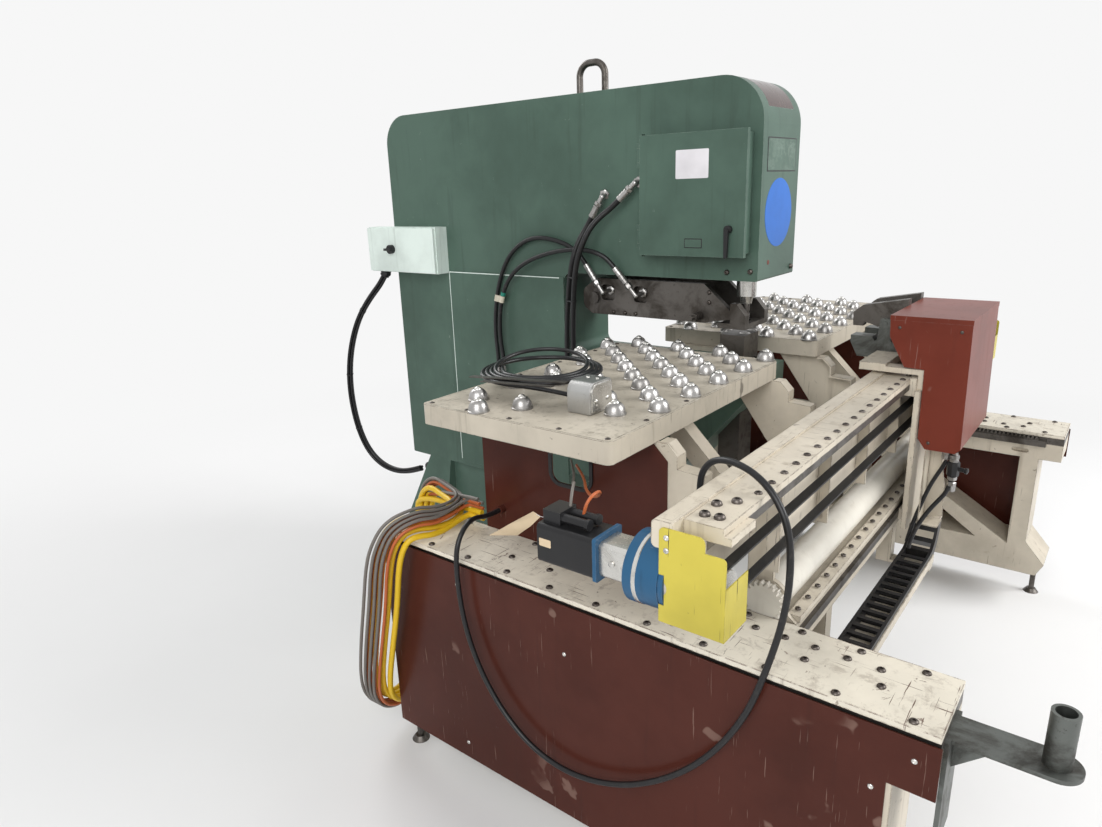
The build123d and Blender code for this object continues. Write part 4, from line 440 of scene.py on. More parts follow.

# Materials

# The green paint's pale chip colour on its edges is partly chipped paint and partly a painted edge highlight.
GREEN = paint("green_paint", (0.074, 0.124, 0.097), (0.035, 0.05, 0.04), (0.40, 0.48, 0.42), 0.34, 0.55,
              chips=0.24, edge=0.002, streaks=0.28, gloss=0.2)
PALE_GREEN = paint("pale_green_paint", (0.70, 0.79, 0.74), (0.26, 0.30, 0.26), (0.10, 0.12, 0.10), 0.35, 0.6,
                   dirt_share=0.3, chips=0.12)
CREAM = paint("cream_paint", (0.545, 0.49, 0.40), (0.17, 0.125, 0.08), (0.06, 0.04, 0.028), 0.40, 0.66,
              dirt_share=0.6, edge=0.004, scratches=0.6, streaks=0.35, top_dirt=0.4)
CREAM_TABLE = paint("cream_table_paint", (0.465, 0.42, 0.345), (0.13, 0.11, 0.08), (0.05, 0.04, 0.032),
                    0.42, 0.7, dirt_share=0.65, scratches=0.7, streaks=0.4, top_dirt=0.75)
CREAM_BASE = paint("cream_base_paint", (0.66, 0.615, 0.52), (0.12, 0.075, 0.05), (0.09, 0.04, 0.028),
                   0.42, 0.7, dirt_share=0.6, chips=0.66, edge=0.005, scratches=0.95, top_dirt=0.6)
TUBE_PAINT = paint("tube_paint", (0.66, 0.63, 0.56), (0.22, 0.16, 0.11), (0.16, 0.13, 0.11), 0.30, 0.5,
                   dirt_share=0.7, chips=0.3, edge=0.002, streaks=0.1, top_dirt=0.3)
BROWN = paint("brown_paint", (0.066, 0.0175, 0.0115), (0.025, 0.012, 0.010), (0.24, 0.15, 0.12), 0.22, 0.5,
              dirt_share=0.45, chips=0.10, edge=0.002, scratches=0.6, streaks=0.2, gloss=0.12)
RED_BROWN = paint("red_brown_paint", (0.150, 0.030, 0.018), (0.06, 0.022, 0.016), (0.36, 0.25, 0.22),
                  0.32, 0.55, dirt_share=0.35, chips=0.2, edge=0.002, scratches=0.4, streaks=0.2, gloss=0.14)
YELLOW = paint("yellow_paint", (0.50, 0.42, 0.06), (0.20, 0.15, 0.03), (0.05, 0.035, 0.018), 0.35, 0.6,
               dirt_share=0.35, chips=0.3, edge=0.002, scratches=1.0, streaks=0.2)
BLUE = paint("blue_paint", (0.022, 0.085, 0.17), (0.015, 0.03, 0.05), (0.40, 0.40, 0.40), 0.30, 0.5,
             dirt_share=0.35, chips=0.2, edge=0.0015, gloss=0.18)
BLACK_PAINT = paint("black_paint", (0.012, 0.012, 0.013), (0.05, 0.045, 0.04), (0.20, 0.20, 0.20), 0.30, 0.6,
                    dirt_share=0.4, chips=0.1, edge=0.0012)
PAPER = paint("beige_paper", (0.58, 0.46, 0.31), (0.30, 0.20, 0.11), (0.40, 0.28, 0.16), 0.7, 0.85,
              dirt_share=0.3, chips=0.1, edge=0.0005, streaks=0.1)
DARK_STEEL = metal("dark_steel", (0.13, 0.12, 0.11), (0.035, 0.028, 0.022), 0.34, 0.62, 0.8)
GREY_STEEL = metal("grey_steel", (0.15, 0.16, 0.15), (0.04, 0.035, 0.03), 0.40, 0.65, 0.8)
BRIGHT_STEEL = metal("bright_steel", (0.62, 0.61, 0.58), (0.26, 0.24, 0.21), 0.22, 0.42, 0.45)
BRUSHED_STEEL = metal("brushed_steel", (0.46, 0.46, 0.45), (0.20, 0.19, 0.18), 0.28, 0.5, 0.4, (0.15, 1, 1))
ZINC = metal("zinc_steel", (0.42, 0.41, 0.40), (0.12, 0.11, 0.10), 0.26, 0.5, 0.6)
SCREW_STEEL = metal("screw_steel", (0.12, 0.105, 0.095), (0.04, 0.03, 0.025), 0.35, 0.6, 0.7)
BLACK_PLASTIC = rubber("black_plastic", (0.012, 0.012, 0.013), (0.09, 0.08, 0.07), 0.38, 0.6)
BLACK_RUBBER = rubber("black_rubber", (0.010, 0.010, 0.011), (0.10, 0.09, 0.08), 0.34, 0.6)
BELT = rubber("belt_rubber", (0.014, 0.014, 0.015), (0.08, 0.075, 0.068), 0.5, 0.75, 0.6)
YELLOW_CABLE = rubber("yellow_cable", (0.72, 0.47, 0.018), (0.32, 0.25, 0.10), 0.36, 0.6)
ORANGE_CABLE = rubber("orange_cable", (0.46, 0.115, 0.035), (0.26, 0.15, 0.10), 0.36, 0.6)
GREY_CABLE = rubber("grey_cable", (0.16, 0.145, 0.13), (0.32, 0.29, 0.26), 0.42, 0.65)
TAPE = rubber("cream_tape", (0.62, 0.57, 0.46), (0.30, 0.25, 0.18), 0.5, 0.7, 0.5)
GREEN_TAPE = rubber("green_tape", (0.02, 0.22, 0.16), (0.10, 0.16, 0.12), 0.45, 0.7)
SMOKED = smoked_sheet()

NODE_MATERIALS = {
    GREEN: "press_frame column_cover control_box box_door",
    PALE_GREEN: "switch_box",
    CREAM: "gantry_beam upper_rail_plate gantry_web lower_beam lower_rail_plate gantry_ends"
           " drive_brackets chain_tray carriage_slide carriage_fold cross_beam table_brackets base_frames",
    CREAM_TABLE: "table_frames table_tops",
    CREAM_BASE: "base_plates",
    TUBE_PAINT: "torque_tube",
    BROWN: "base_panels table_panels",
    RED_BROWN: "carriage_cover cover_lid",
    YELLOW: "belt_guards",
    BLUE: "gearbox",
    BLACK_PAINT: "x_motor",
    DARK_STEEL: "stripper_arm stripper_pin punch die_holder slug_chute y_rails levelling_feet x_rails"
                " near_clamp_jaw far_clamp_jaw lifting_eye",
    GREY_STEEL: "front_arm clamp_bodies",
    BRIGHT_STEEL: "ram die drive_pulley idler_pulley ball_tips",
    ZINC: "ball_cups",
    BLACK_PLASTIC: "door_handle switch_knob energy_chain",
    BLACK_RUBBER: "window_seals cable_loop switch_cables arm_hoses stripper_hoses table_cables",
    YELLOW_CABLE: "cable_coil",
    BELT: "drive_belt",
    SMOKED: "nose_window",
}


def dress_nodes():
    """Gives every CAD node its material."""
    for material, names in NODE_MATERIALS.items():
        for name in names.split():
            mesh = nodes[name].data
            mesh.materials.clear()
            mesh.materials.append(material)


dress_nodes()

# Cord routes, as in the part's source

LOOP_RADIUS = 6.5
ARM_HOSE_RADIUS = 9
STRIPPER_HOSE_RADIUS = 7.5
STRAND_RADIUS = 6.2
STRAND_OFFSET = 8.6

LOOP_POINTS = [
    (-955, -345, 982), (-955, -345, 1010), (-958, -355, 1036), (-964, -374, 1056), (-973, -401, 1067),
    (-985, -436, 1069), (-1000, -474, 1063), (-1014, -509, 1046), (-1026, -538, 1016), (-1031, -554, 974),
    (-1032, -559, 924), (-1032, -558, 866), (-1032, -550, 804), (-1032, -536, 740), (-1033, -519, 674),
    (-1033, -498, 606), (-1034, -466, 536), (-1034, -424, 466), (-1034, -370, 398), (-1034, -300, 332),
    (-1035, -216, 276), (-1035, -122, 239), (-1035, -28, 229), (-1035, 60, 251), (-1034, 136, 303),
    (-1034, 194, 372), (-1034, 234, 448), (-1034, 258, 528), (-1035, 267, 606), (-1036, 268, 670),
    (-1032, 267, 718), (-1012, 269, 750), (-978, 275, 768), (-940, 284, 764), (-892, 293, 746),
    (-845, 293, 746),
]
LOW_ARM_HOSE = [
    (-163, 458, 1464), (-164.5, 477.2, 1433.6), (-176, 495, 1401), (-186, 508, 1367), (-192, 518, 1328),
    (-190, 529, 1286), (-183, 542, 1239), (-174, 553, 1189), (-166, 564, 1134), (-161, 571, 1080),
    (-158, 575, 1028), (-157, 576, 983), (-157, 576, 940),
]
HIGH_ARM_HOSE = [
    (-166, 353, 1515), (-168.9, 378.3, 1492.5), (-181, 405, 1471), (-194, 428, 1448), (-205, 447, 1418),
    (-213, 464, 1380), (-214, 482, 1336), (-207, 498, 1286), (-198, 511, 1232), (-189, 521, 1174),
    (-179, 531, 1112), (-172, 538, 1050), (-168, 540, 992), (-168, 540, 940),
]
FRONT_STRIPPER_HOSE = [
    (-150, 383.2, 1306.2), (-154.5, 404.3, 1332.1), (-163, 434, 1350), (-167, 467, 1359), (-168, 503, 1362),
    (-168, 544, 1361), (-168, 590, 1356), (-168, 639, 1346), (-168, 692, 1331), (-168, 740, 1312),
    (-168, 778, 1289), (-168, 809, 1262), (-168, 835, 1227), (-168, 855, 1183), (-168, 868, 1130),
    (-168, 873, 1073), (-168, 871, 1016), (-166, 864, 972), (-166, 864, 935),
]
BACK_STRIPPER_HOSE = [
    (-147, 497.2, 1313.3), (-150.8, 515.1, 1341.5), (-150, 545, 1362), (-149, 578, 1377), (-149, 612, 1387),
    (-150, 648, 1394), (-150, 689, 1397), (-150, 732, 1391), (-150, 774, 1373), (-150, 813, 1345),
    (-150, 844, 1308), (-150, 870, 1261), (-150, 889, 1208), (-150, 902, 1153), (-150, 910, 1090),
    (-151, 910, 1028), (-152, 903, 974), (-152, 903, 935),
]
SWITCH_BUNDLE = [
    (-161, 1500, 1236), (-170, 1513, 1208), (-182, 1542, 1175), (-194, 1580, 1132), (-205, 1630, 1070),
    (-210, 1680, 985), (-208, 1729, 873), (-200, 1760, 750), (-188, 1769, 630), (-172, 1763, 522),
    (-155, 1735, 430), (-138, 1672, 370), (-121, 1590, 350), (-106, 1516, 362), (-96, 1460, 384),
    (-90, 1414, 400),
]
COIL_RING = [
    (-845, 450, 720.6), (-905, 425, 720.6), (-968, 436, 724), (-1024, 460, 736), (-1062, 486, 698),
    (-1071, 508, 632), (-1067, 530, 560), (-1064, 552, 480), (-1064, 574, 396), (-1062, 596, 312),
    (-1056, 617, 230), (-1036, 632, 158), (-992, 640, 112), (-935, 642, 108), (-884, 641, 148),
    (-852, 640, 222), (-833, 639, 310), (-820, 638, 405), (-812, 638, 500), (-808, 642, 590),
    (-806, 644, 668), (-808, 604, 730), (-818, 530, 722),
]
# Hoses and leads that the scene alone has: from the valve to the chain, and from the motor's plugs
CARRIAGE_HOSE = [
    (-26, -606, 812), (-27, -600, 795), (-28, -590, 772), (-30, -577, 742), (-33, -566, 706),
    (-38, -556, 668), (-46, -547, 630), (-55, -540, 592), (-60, -537, 566),
]
VALVE_HOSE = [
    (-32, -626, 842), (-32, -626, 806), (-33, -625, 770), (-34, -622, 744), (-36, -615, 722),
    (-39, -605, 705), (-43, -592, 685), (-47, -580, 664), (-52, -569, 642), (-57, -559, 618),
    (-63, -551, 592), (-67, -546, 568), (-68, -545, 552),
]
MOTOR_LEAD = [
    (-1140, -199, 961), (-1138, -203, 986), (-1124, -208, 1002), (-1102, -208, 1004), (-1080, -198, 992),
    (-1060, -178, 972), (-1036, -148, 956), (-1004, -114, 944), (-962, -76, 934), (-912, -38, 926),
    (-868, 4, 922), (-832, 44, 920),
]
BRAKE_LEAD = [
    (-1140, -168, 961), (-1136, -168, 984), (-1120, -160, 1001), (-1096, -146, 1004), (-1066, -124, 992),
    (-1034, -98, 972), (-994, -66, 952), (-946, -32, 938), (-892, 6, 930), (-832, 60, 930),
]


def length_of(line):
    return sum((b - a).length for a, b in zip(line, line[1:]))


def free_cord(name, places, radius, body, material, replaced=None):
    """A cord: one smooth spline through places in metres, for its CAD tube if it has one."""
    cord = spline_curve(name, places, radius)
    cord.data.materials.append(material)
    if replaced:
        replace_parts(cord, replaced)
    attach(cord, body)
    length_of(line_of(cord))
    return cord


def bending_cord(name, places, radius, material, replaced, bodies, start, end):
    """A cord between two bodies: a fixed tube along its spline. Gives the spline's line."""
    route = spline_curve(name + "_route", in_frame(places), radius)
    line = line_of(route)
    mesh = bpy.data.meshes.new_from_object(route)
    remove_curve(route)
    mesh.materials.clear()
    mesh.materials.append(material)
    tube = added(name, mesh)
    if replaced:
        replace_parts(tube, replaced)
    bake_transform(tube)
    return line


def frames_along(line):
    """At each point of a line: the point, and two directions across it that turn as little as they can."""
    frames = []
    across = (line[1] - line[0]).orthogonal().normalized()
    for k, place in enumerate(line):
        ahead = (line[min(k + 1, len(line) - 1)] - line[max(k - 1, 0)]).normalized()
        across = (across - ahead * across.dot(ahead)).normalized()
        frames.append((place, across, ahead.cross(across)))
    return frames


def make_switch_strands():
    """Four cables tied side by side, along the bundle's own line."""
    route = spline_curve("bundle_route", in_frame(SWITCH_BUNDLE), 1)
    kept = frames_along(line_of(route))[::6]
    remove_curve(route)
    strands = []
    for k in range(4):
        angle = math.radians(45 + 90 * k)
        u, v = math.cos(angle) * STRAND_OFFSET * MM, math.sin(angle) * STRAND_OFFSET * MM
        places = [place + across * u + beside * v for place, across, beside in kept]
        strands.append(free_cord(f"switch_strand_{k}", places, STRAND_RADIUS, "machine", BLACK_RUBBER,
                                 "switch_cables"))
    return strands


def ring_place(ring, share):
    """A point on a closed ring of places, by its share of the way round."""
    spot = share % 1 * len(ring)
    k = int(spot)
    t = spot - k
    a, b, c, d = (ring[(k + step) % len(ring)] for step in (-1, 0, 1, 2))
    return 0.5 * (2 * b + (c - a) * t + (2 * a - 5 * b + 4 * c - d) * t ** 2
                  + (3 * b - a - 3 * c + d) * t ** 3)


# Each cable of the hung coil: its radius, its leads' height, its first turn's place across the ring
# (outwards, sideways), the step to the next turn, and how far the turns fan out at the bottom
HUNG_CABLES = (
    ("yellow_coil", YELLOW_CABLE, 8, 704, (-8, -40), (4, 18.4), (2.5, 0.35)),
    ("orange_coil", ORANGE_CABLE, 4.5, 733, (20, -26), (1, 10.5), (2.5, 0.45)),
    ("grey_coil", GREY_CABLE, 4.5, 748, (31, -18), (1, 10.5), (2.5, 0.45)),
)
HUNG_TURNS = 4
HUNG_STEPS = 26
LANE_CHANGE_FROM = 0.72
LANE_CHANGE_SHARE = 0.28
FAN_SHARE = 0.62
# The leads at both ends go into the table's panel: (x, y, rise over the lead's height)
FIRST_LEAD = ((-838, 357, 0), (-838, 388, 1), (-847, 411, 3))
LAST_LEAD = ((-842, 392, 18), (-842, 357, 18))


def hung_turns(lanes, fan, lead_height):
    """Points of a cord hung in a coil: each turn keeps a lane round the ring and changes it at the top."""
    ring = in_frame(COIL_RING)
    middle = sum(ring, Vector()) / len(ring)
    places = in_frame((x, y, lead_height + rise) for x, y, rise in FIRST_LEAD)
    for step in range(2, HUNG_STEPS * len(lanes) - 2):
        share = step / HUNG_STEPS
        turn = int(share)
        part = share - turn
        shift = min(1, max(0, (part - LANE_CHANGE_FROM) / LANE_CHANGE_SHARE))
        shift = shift * shift * (3 - 2 * shift)
        here, after = lanes[turn], lanes[min(turn + 1, len(lanes) - 1)]
        spread = math.sin(math.pi * min(1, part / FAN_SHARE)) ** 2
        out_by = here[0] + (after[0] - here[0]) * shift + fan[0] * spread * (turn + 1)
        side_by = (here[1] + (after[1] - here[1]) * shift) * (1 + fan[1] * spread)
        spot = ring_place(ring, share)
        ahead = (ring_place(ring, share + 0.01) - ring_place(ring, share - 0.01)).normalized()
        out = spot - middle
        out = (out - ahead * out.dot(ahead)).normalized()
        places.append(spot + out * out_by * MM + ahead.cross(out) * side_by * MM)
    beside = 0.4 * lanes[-1][0]
    return places + in_frame((x - beside, y, lead_height + rise) for x, y, rise in LAST_LEAD)


def make_hung_coil():
    """The cables that hang over the base's back corner: a thick yellow one and two thin ones."""
    for name, material, radius, lead_height, first, step, fan in HUNG_CABLES:
        lanes = [(first[0] + step[0] * k, first[1] + step[1] * k) for k in range(HUNG_TURNS)]
        free_cord(name, hung_turns(lanes, fan, lead_height), radius, "machine", material, "cable_coil")


TABLE_COIL_AT = (-725, 236)
TABLE_COIL_TURNS = 4.2
TABLE_COIL_STEPS = 18
TABLE_COIL_START = 198
TABLE_COIL_REACH = 160
TABLE_COIL_CLOSER = 11.6
TABLE_COIL_OFFSET = 10
TABLE_COIL_LOW = 1107.4
TABLE_COIL_RISE = 2.2
# Where the last turn starts to rise off the table, for how much of a turn, and how high
LIFT_FROM = 3.1
LIFT_TURNS = 0.75
LIFT_HEIGHT = 24
# The bare end: its distance from the coil's middle, how far it goes on in radians, and its height
BARE_END = (104, -0.3, 1112)
TABLE_CABLE_RADIUS = 5.5


def table_coil_spot(reach, angle, height):
    x, y = TABLE_COIL_AT
    return at(x + reach * math.cos(angle), y + reach * math.sin(angle), height)


def make_table_coil():
    """The cable that lies in loose turns on the left table, from its plug's hood to its bare end."""
    places = in_frame([(-835, 30, 1092), (-836, 58, 1094), (-846, 100, 1099), (-862, 146, 1105)])
    for step in range(int(TABLE_COIL_TURNS * TABLE_COIL_STEPS)):
        share = step / TABLE_COIL_STEPS
        angle = math.radians(TABLE_COIL_START - 360 * share)
        reach = TABLE_COIL_REACH - TABLE_COIL_CLOSER * share + TABLE_COIL_OFFSET * math.cos(angle + 1.1)
        height = TABLE_COIL_LOW + TABLE_COIL_RISE * share
        if LIFT_FROM < share < LIFT_FROM + LIFT_TURNS:
            height += LIFT_HEIGHT * math.sin(math.pi * (share - LIFT_FROM) / LIFT_TURNS) ** 2
        places.append(table_coil_spot(reach, angle, height))
    reach, back, height = BARE_END
    angle = math.radians(TABLE_COIL_START - 360 * TABLE_COIL_TURNS) + back
    places.append(table_coil_spot(reach, angle, height))
    free_cord("table_coil", places, TABLE_CABLE_RADIUS, "machine", BLACK_RUBBER, "table_cables")


# Two points on each cord between two bodies, and on the energy chain
LOOP_BEND = ((-1034, -350, 500), (-1034, 230, 500))
STRIPPER_BEND = ((-150, 840, 1300), (-150, 470, 1300))
LEAD_BEND = ((-1000, -175, 950), (-1000, -25, 950))
CHAIN_BEND = ((-742, -556, 500), (30, -556, 500))


def make_cords():
    """Every free cord. Gives the lines of those that carry ties."""
    bending_cord("loop_cable", LOOP_POINTS, LOOP_RADIUS, BLACK_RUBBER, "cable_loop", ("gantry", "machine"),
                 *LOOP_BEND)
    made = {}
    for name, route in (("low_arm_hose", LOW_ARM_HOSE), ("high_arm_hose", HIGH_ARM_HOSE)):
        hose = free_cord(name, in_frame(route), ARM_HOSE_RADIUS, "machine", BLACK_RUBBER, "arm_hoses")
        made[name] = line_of(hose)
    for name, route in (("front_stripper_hose", FRONT_STRIPPER_HOSE),
                        ("back_stripper_hose", BACK_STRIPPER_HOSE)):
        made[name] = bending_cord(name, route, STRIPPER_HOSE_RADIUS, BLACK_RUBBER, "stripper_hoses",
                                  ("machine", "stripper_arm"), *STRIPPER_BEND)
    for strand in make_switch_strands():
        made[strand.name] = line_of(strand)
    make_hung_coil()
    make_table_coil()
    for name, route, radius in (("carriage_hose", CARRIAGE_HOSE, 5.5), ("valve_hose", VALVE_HOSE, 6)):
        free_cord(name, in_frame(route), radius, "carriage", BLACK_RUBBER)
    for name, route, radius, material in (("motor_lead", MOTOR_LEAD, 3.2, ORANGE_CABLE),
                                          ("brake_lead", BRAKE_LEAD, 3, GREY_CABLE)):
        bending_cord(name, route, radius, material, None, ("gantry", "machine"), *LEAD_BEND)
    return made


lines = make_cords()

# Fittings, ties and plugs


STRAP_THICK = 1.3
STRAP_SEGMENTS = 32


def strap(shape, centres, ahead, radius, width):
    """A strap round cords that lie side by side: their centres in metres, their radius in millimetres."""
    ahead = ahead.normalized()
    across = ahead.orthogonal().normalized()
    beside = ahead.cross(across)
    rings = []
    half = width / 2
    for level, grow in ((-half, STRAP_THICK), (half, STRAP_THICK), (half, 0.2), (-half, 0.2)):
        ring = []
        for step in range(STRAP_SEGMENTS):
            angle = math.tau * step / STRAP_SEGMENTS
            way = across * math.cos(angle) + beside * math.sin(angle)
            furthest = max(centres, key=lambda spot: spot.dot(way))
            ring.append(furthest + (way * (radius + grow) + ahead * level) * MM)
        rings.append(ring)
    skin(shape, rings, closed=True)


def nearest(line, place):
    """The point of a line nearest a place, and the line's direction there."""
    k = min(range(1, len(line) - 1), key=lambda step: (line[step] - place).length)
    return line[k], line[k + 1] - line[k - 1]


def hose_fitting(shape, wall, corner, end, radius):
    """A bent hose fitting over its plain solid: hexagonal nuts, a pipe bend and a crimped ferrule."""
    leg = Vector(corner) - Vector(wall)
    run = Vector(end) - Vector(corner)
    pipe = radius - 0.5
    nut = (radius + 5) / math.cos(math.pi / 6) + 0.3
    turned(shape, ((pipe, 0), (pipe, leg.length)), wall, leg, 18)
    turned(shape, ((nut - 2.2, -0.2), (nut, 1.2), (nut, 13.2), (nut - 2.2, 14.5)), wall, leg, 6)
    bend = [(max(0, (radius + 0.5) * math.cos(math.radians(k * 22.5 - 90))),
             (radius + 0.5) * math.sin(math.radians(k * 22.5 - 90))) for k in range(9)]
    bend[0], bend[-1] = (0, -radius - 0.5), (0, radius + 0.5)
    turned(shape, bend, corner, run, 18)
    turned(shape, ((pipe, 0), (pipe, run.length)), corner, run, 18)
    small = (radius + 2.4) / math.cos(math.pi / 6)
    turned(shape, ((small - 1.5, run.length * 0.26), (small, run.length * 0.28), (small, run.length * 0.40),
                   (small - 1.5, run.length * 0.42)), corner, run, 6)
    start, grip = run.length * 0.45, run.length * 0.55
    profile = [(radius + 1.2, start - 0.6), (radius + 2.9, start + 0.6)]
    for share in (0.22, 0.48, 0.74):
        at_height = start + grip * share
        profile += [(radius + grow, at_height + rise)
                    for grow, rise in ((2.9, -1.6), (2.2, -0.8), (2.2, 0.8), (2.9, 1.6))]
    profile += [(radius + 2.9, run.length - 0.8), (radius + 0.3, run.length + 0.8)]
    turned(shape, profile, corner, run, 22)


# Each fitting: where it leaves the wall, its corner, its end, and the radius of its hose
MACHINE_FITTINGS = (
    ((-126, 430, 1534), (-160, 420, 1524), (-163, 458, 1464), ARM_HOSE_RADIUS),
    ((-132, 576, 885), (-157, 576, 885), (-157, 576, 940), ARM_HOSE_RADIUS),
    ((-126, 302, 1567), (-160, 300, 1562), (-166, 353, 1515), ARM_HOSE_RADIUS),
    ((-132, 540, 885), (-168, 540, 885), (-168, 540, 940), ARM_HOSE_RADIUS),
    ((-137, 864, 885), (-166, 864, 885), (-166, 864, 935), STRIPPER_HOSE_RADIUS),
    ((-137, 903, 885), (-152, 903, 885), (-152, 903, 935), STRIPPER_HOSE_RADIUS),
)
STRIPPER_FITTINGS = (
    ((-63, 326, 1220), (-135, 312, 1219), (-150, 383, 1306), STRIPPER_HOSE_RADIUS),
    ((-63, 452, 1222), (-135, 440, 1223), (-147, 497, 1313), STRIPPER_HOSE_RADIUS),
)


def make_fittings():
    for name, fittings, body in (("wall_fittings", MACHINE_FITTINGS, "machine"),
                                 ("stripper_fittings", STRIPPER_FITTINGS, "stripper_arm")):
        shape = bmesh.new()
        for wall, corner, end, radius in fittings:
            hose_fitting(shape, wall, corner, end, radius)
        new_piece(name, shape, body, [ZINC], 35)
    shape = bmesh.new()
    for end, beside, long in ((*SWITCH_BUNDLE[:2], 32), (*SWITCH_BUNDLE[:-3:-1], 60)):
        way = Vector(end) - Vector(beside)
        turned(shape, ((15, -3), (18.7, 0), (18.7, long)), end, way, 24)
        turned(shape, ((19, 7), (22, 9), (22, 19), (19, 21)), end, way, 6)
    new_piece("bundle_glands", shape, "machine", [BLACK_PLASTIC], 35)


# Where the ties and the tape sit, and how far the green tape sits from the pale one
ARM_TIE_HEIGHTS = (1276, 1192)
STRAND_TIES = ((-203, 1612, 1092), (-206, 1745, 800), (-176, 1765, 545))
FRONT_TAPE_AT = (-168, 856, 1180)
BACK_TAPE_AT = (-150, 896, 1180)
GREEN_TAPE_DROP = 20


def make_ties(lines):
    """Cable ties round the arm hoses and the switch cables, and the tape round the stripper hoses."""
    shape = bmesh.new()
    for height in ARM_TIE_HEIGHTS:
        low, way = nearest(lines["low_arm_hose"], at(-186, 536, height))
        high = nearest(lines["high_arm_hose"], at(-200, 505, height))[0]
        strap(shape, [low, high], way, ARM_HOSE_RADIUS, 5)
    for spot in STRAND_TIES:
        ends = [nearest(lines[f"switch_strand_{k}"], at(*spot)) for k in range(4)]
        strap(shape, [place for place, way in ends], ends[0][1], STRAND_RADIUS, 5)
    new_piece("cable_ties", shape, "machine", [BLACK_PLASTIC], 50)
    front, way = nearest(lines["front_stripper_hose"], at(*FRONT_TAPE_AT))
    back = nearest(lines["back_stripper_hose"], at(*BACK_TAPE_AT))[0]
    below = front - way.normalized() * GREEN_TAPE_DROP * MM
    for name, centres, width, material in (("hose_tape", [front, back], 24, TAPE),
                                           ("green_tape", [below], 13, GREEN_TAPE)):
        shape = bmesh.new()
        strap(shape, centres, way, STRIPPER_HOSE_RADIUS, width)
        new_piece(name, shape, "machine", [material], 50)


def filleted(corners, radii, steps=6):
    """The points of a polygon with its corners rounded."""
    points = []
    for k, (corner, radius) in enumerate(zip(corners, radii)):
        here = Vector(corner)
        back = (Vector(corners[k - 1]) - here).normalized()
        on = (Vector(corners[(k + 1) % len(corners)]) - here).normalized()
        half = math.acos(back.dot(on)) / 2
        centre = here + (back + on).normalized() * radius / math.sin(half)
        first = here + back * radius / math.tan(half) - centre
        last = here + on * radius / math.tan(half) - centre
        for step in range(steps + 1):
            spoke = first.lerp(last, step / steps).normalized() * radius
            points.append(tuple(centre + spoke))
    return points


# The plug's hood on the left table: its box, and each row of its ends as (y, inset)
HOOD_LOW = (-880, 1067.3)
HOOD_HIGH = (-791, 1139.3)
HOOD_CORNERS = (3, 22, 11, 3)
HOOD_ROWS = ((-33, 1.5), (-31.5, 0), (28.5, 0), (30, 1.5))
END_PLATE_ROWS = ((-36, 7), (-35, 6), (-32.5, 6))
# Each flat bar that lies on the table: its two ends and half its width
FLAT_BARS = (((-871, 36, 1134), (-864, 344, 1108), 9), ((-893, 60, 1126), (-887, 286, 1108), 7))


def make_connector():
    """The metal hood of the plug on the left table, with its end plate and the cable's gland."""
    (left, low), (right, high) = HOOD_LOW, HOOD_HIGH
    outline = filleted([(left, low), (left, high), (right, high), (right, low)], HOOD_CORNERS)
    middle = (Vector(HOOD_LOW) + Vector(HOOD_HIGH)) / 2
    shape = bmesh.new()

    def ring(y, inset):
        places = []
        for corner in outline:
            spoke = Vector(corner) - middle
            x, z = middle + spoke * (1 - inset / spoke.length)
            places.append(at(x, y, z))
        return places

    skin(shape, [ring(*row) for row in HOOD_ROWS])
    skin(shape, [ring(*row) for row in END_PLATE_ROWS], 1)
    for x in (-858, -814):
        turned(shape, ((5, -1), (5, 1.6), (3.6, 2.6), (0, 2.8)), (x, -36, 1096), FRONT, 14, 1)
    for y in (-14, 12):
        turned(shape, ((4, -1), (4, 1.4), (2.8, 2.2), (0, 2.4)), (-822, y, 1139.2), UP, 12, 1)
    new_piece("plug_hood", shape, "machine", [BRUSHED_STEEL, BRIGHT_STEEL], 35)
    shape = bmesh.new()
    turned(shape, ((14, -0.5), (14, 7), (11, 9), (11, 20), (8.5, 23), (6, 23.5)), (-835, 30, 1092), (0, 1, 0))
    new_piece("plug_gland", shape, "machine", [BLACK_PLASTIC], 35)
    shape = bmesh.new()
    for near, far, wide in FLAT_BARS:
        start, end = at(*near), at(*far)
        way = (end - start).normalized()
        side = way.cross(Vector(UP)).normalized() * wide * MM
        up = side.cross(way).normalized() * 1.2 * MM
        skin(shape, [[spot + side + up, spot - side + up, spot - side - up, spot + side - up]
                     for spot in (start, end)])
    new_piece("flat_bars", shape, "machine", [DARK_STEEL])


# The paper tag, as its left and right edge from its free end upwards
TAG_EDGES = (
    ((-1010, 175, 772), (-966, 124, 768)),
    ((-1007, 148, 790), (-970, 100, 788)),
    ((-1000, 113, 815), (-978, 72, 810)),
    ((-987, 54, 855), (-989, 30, 850)),
)
TAG_STRING = [(-988, 43, 851), (-1020, 4, 866), (-1066, -58, 898), (-1110, -110, 918), (-1136, -124, 932)]
PAPER_THICK = 0.6


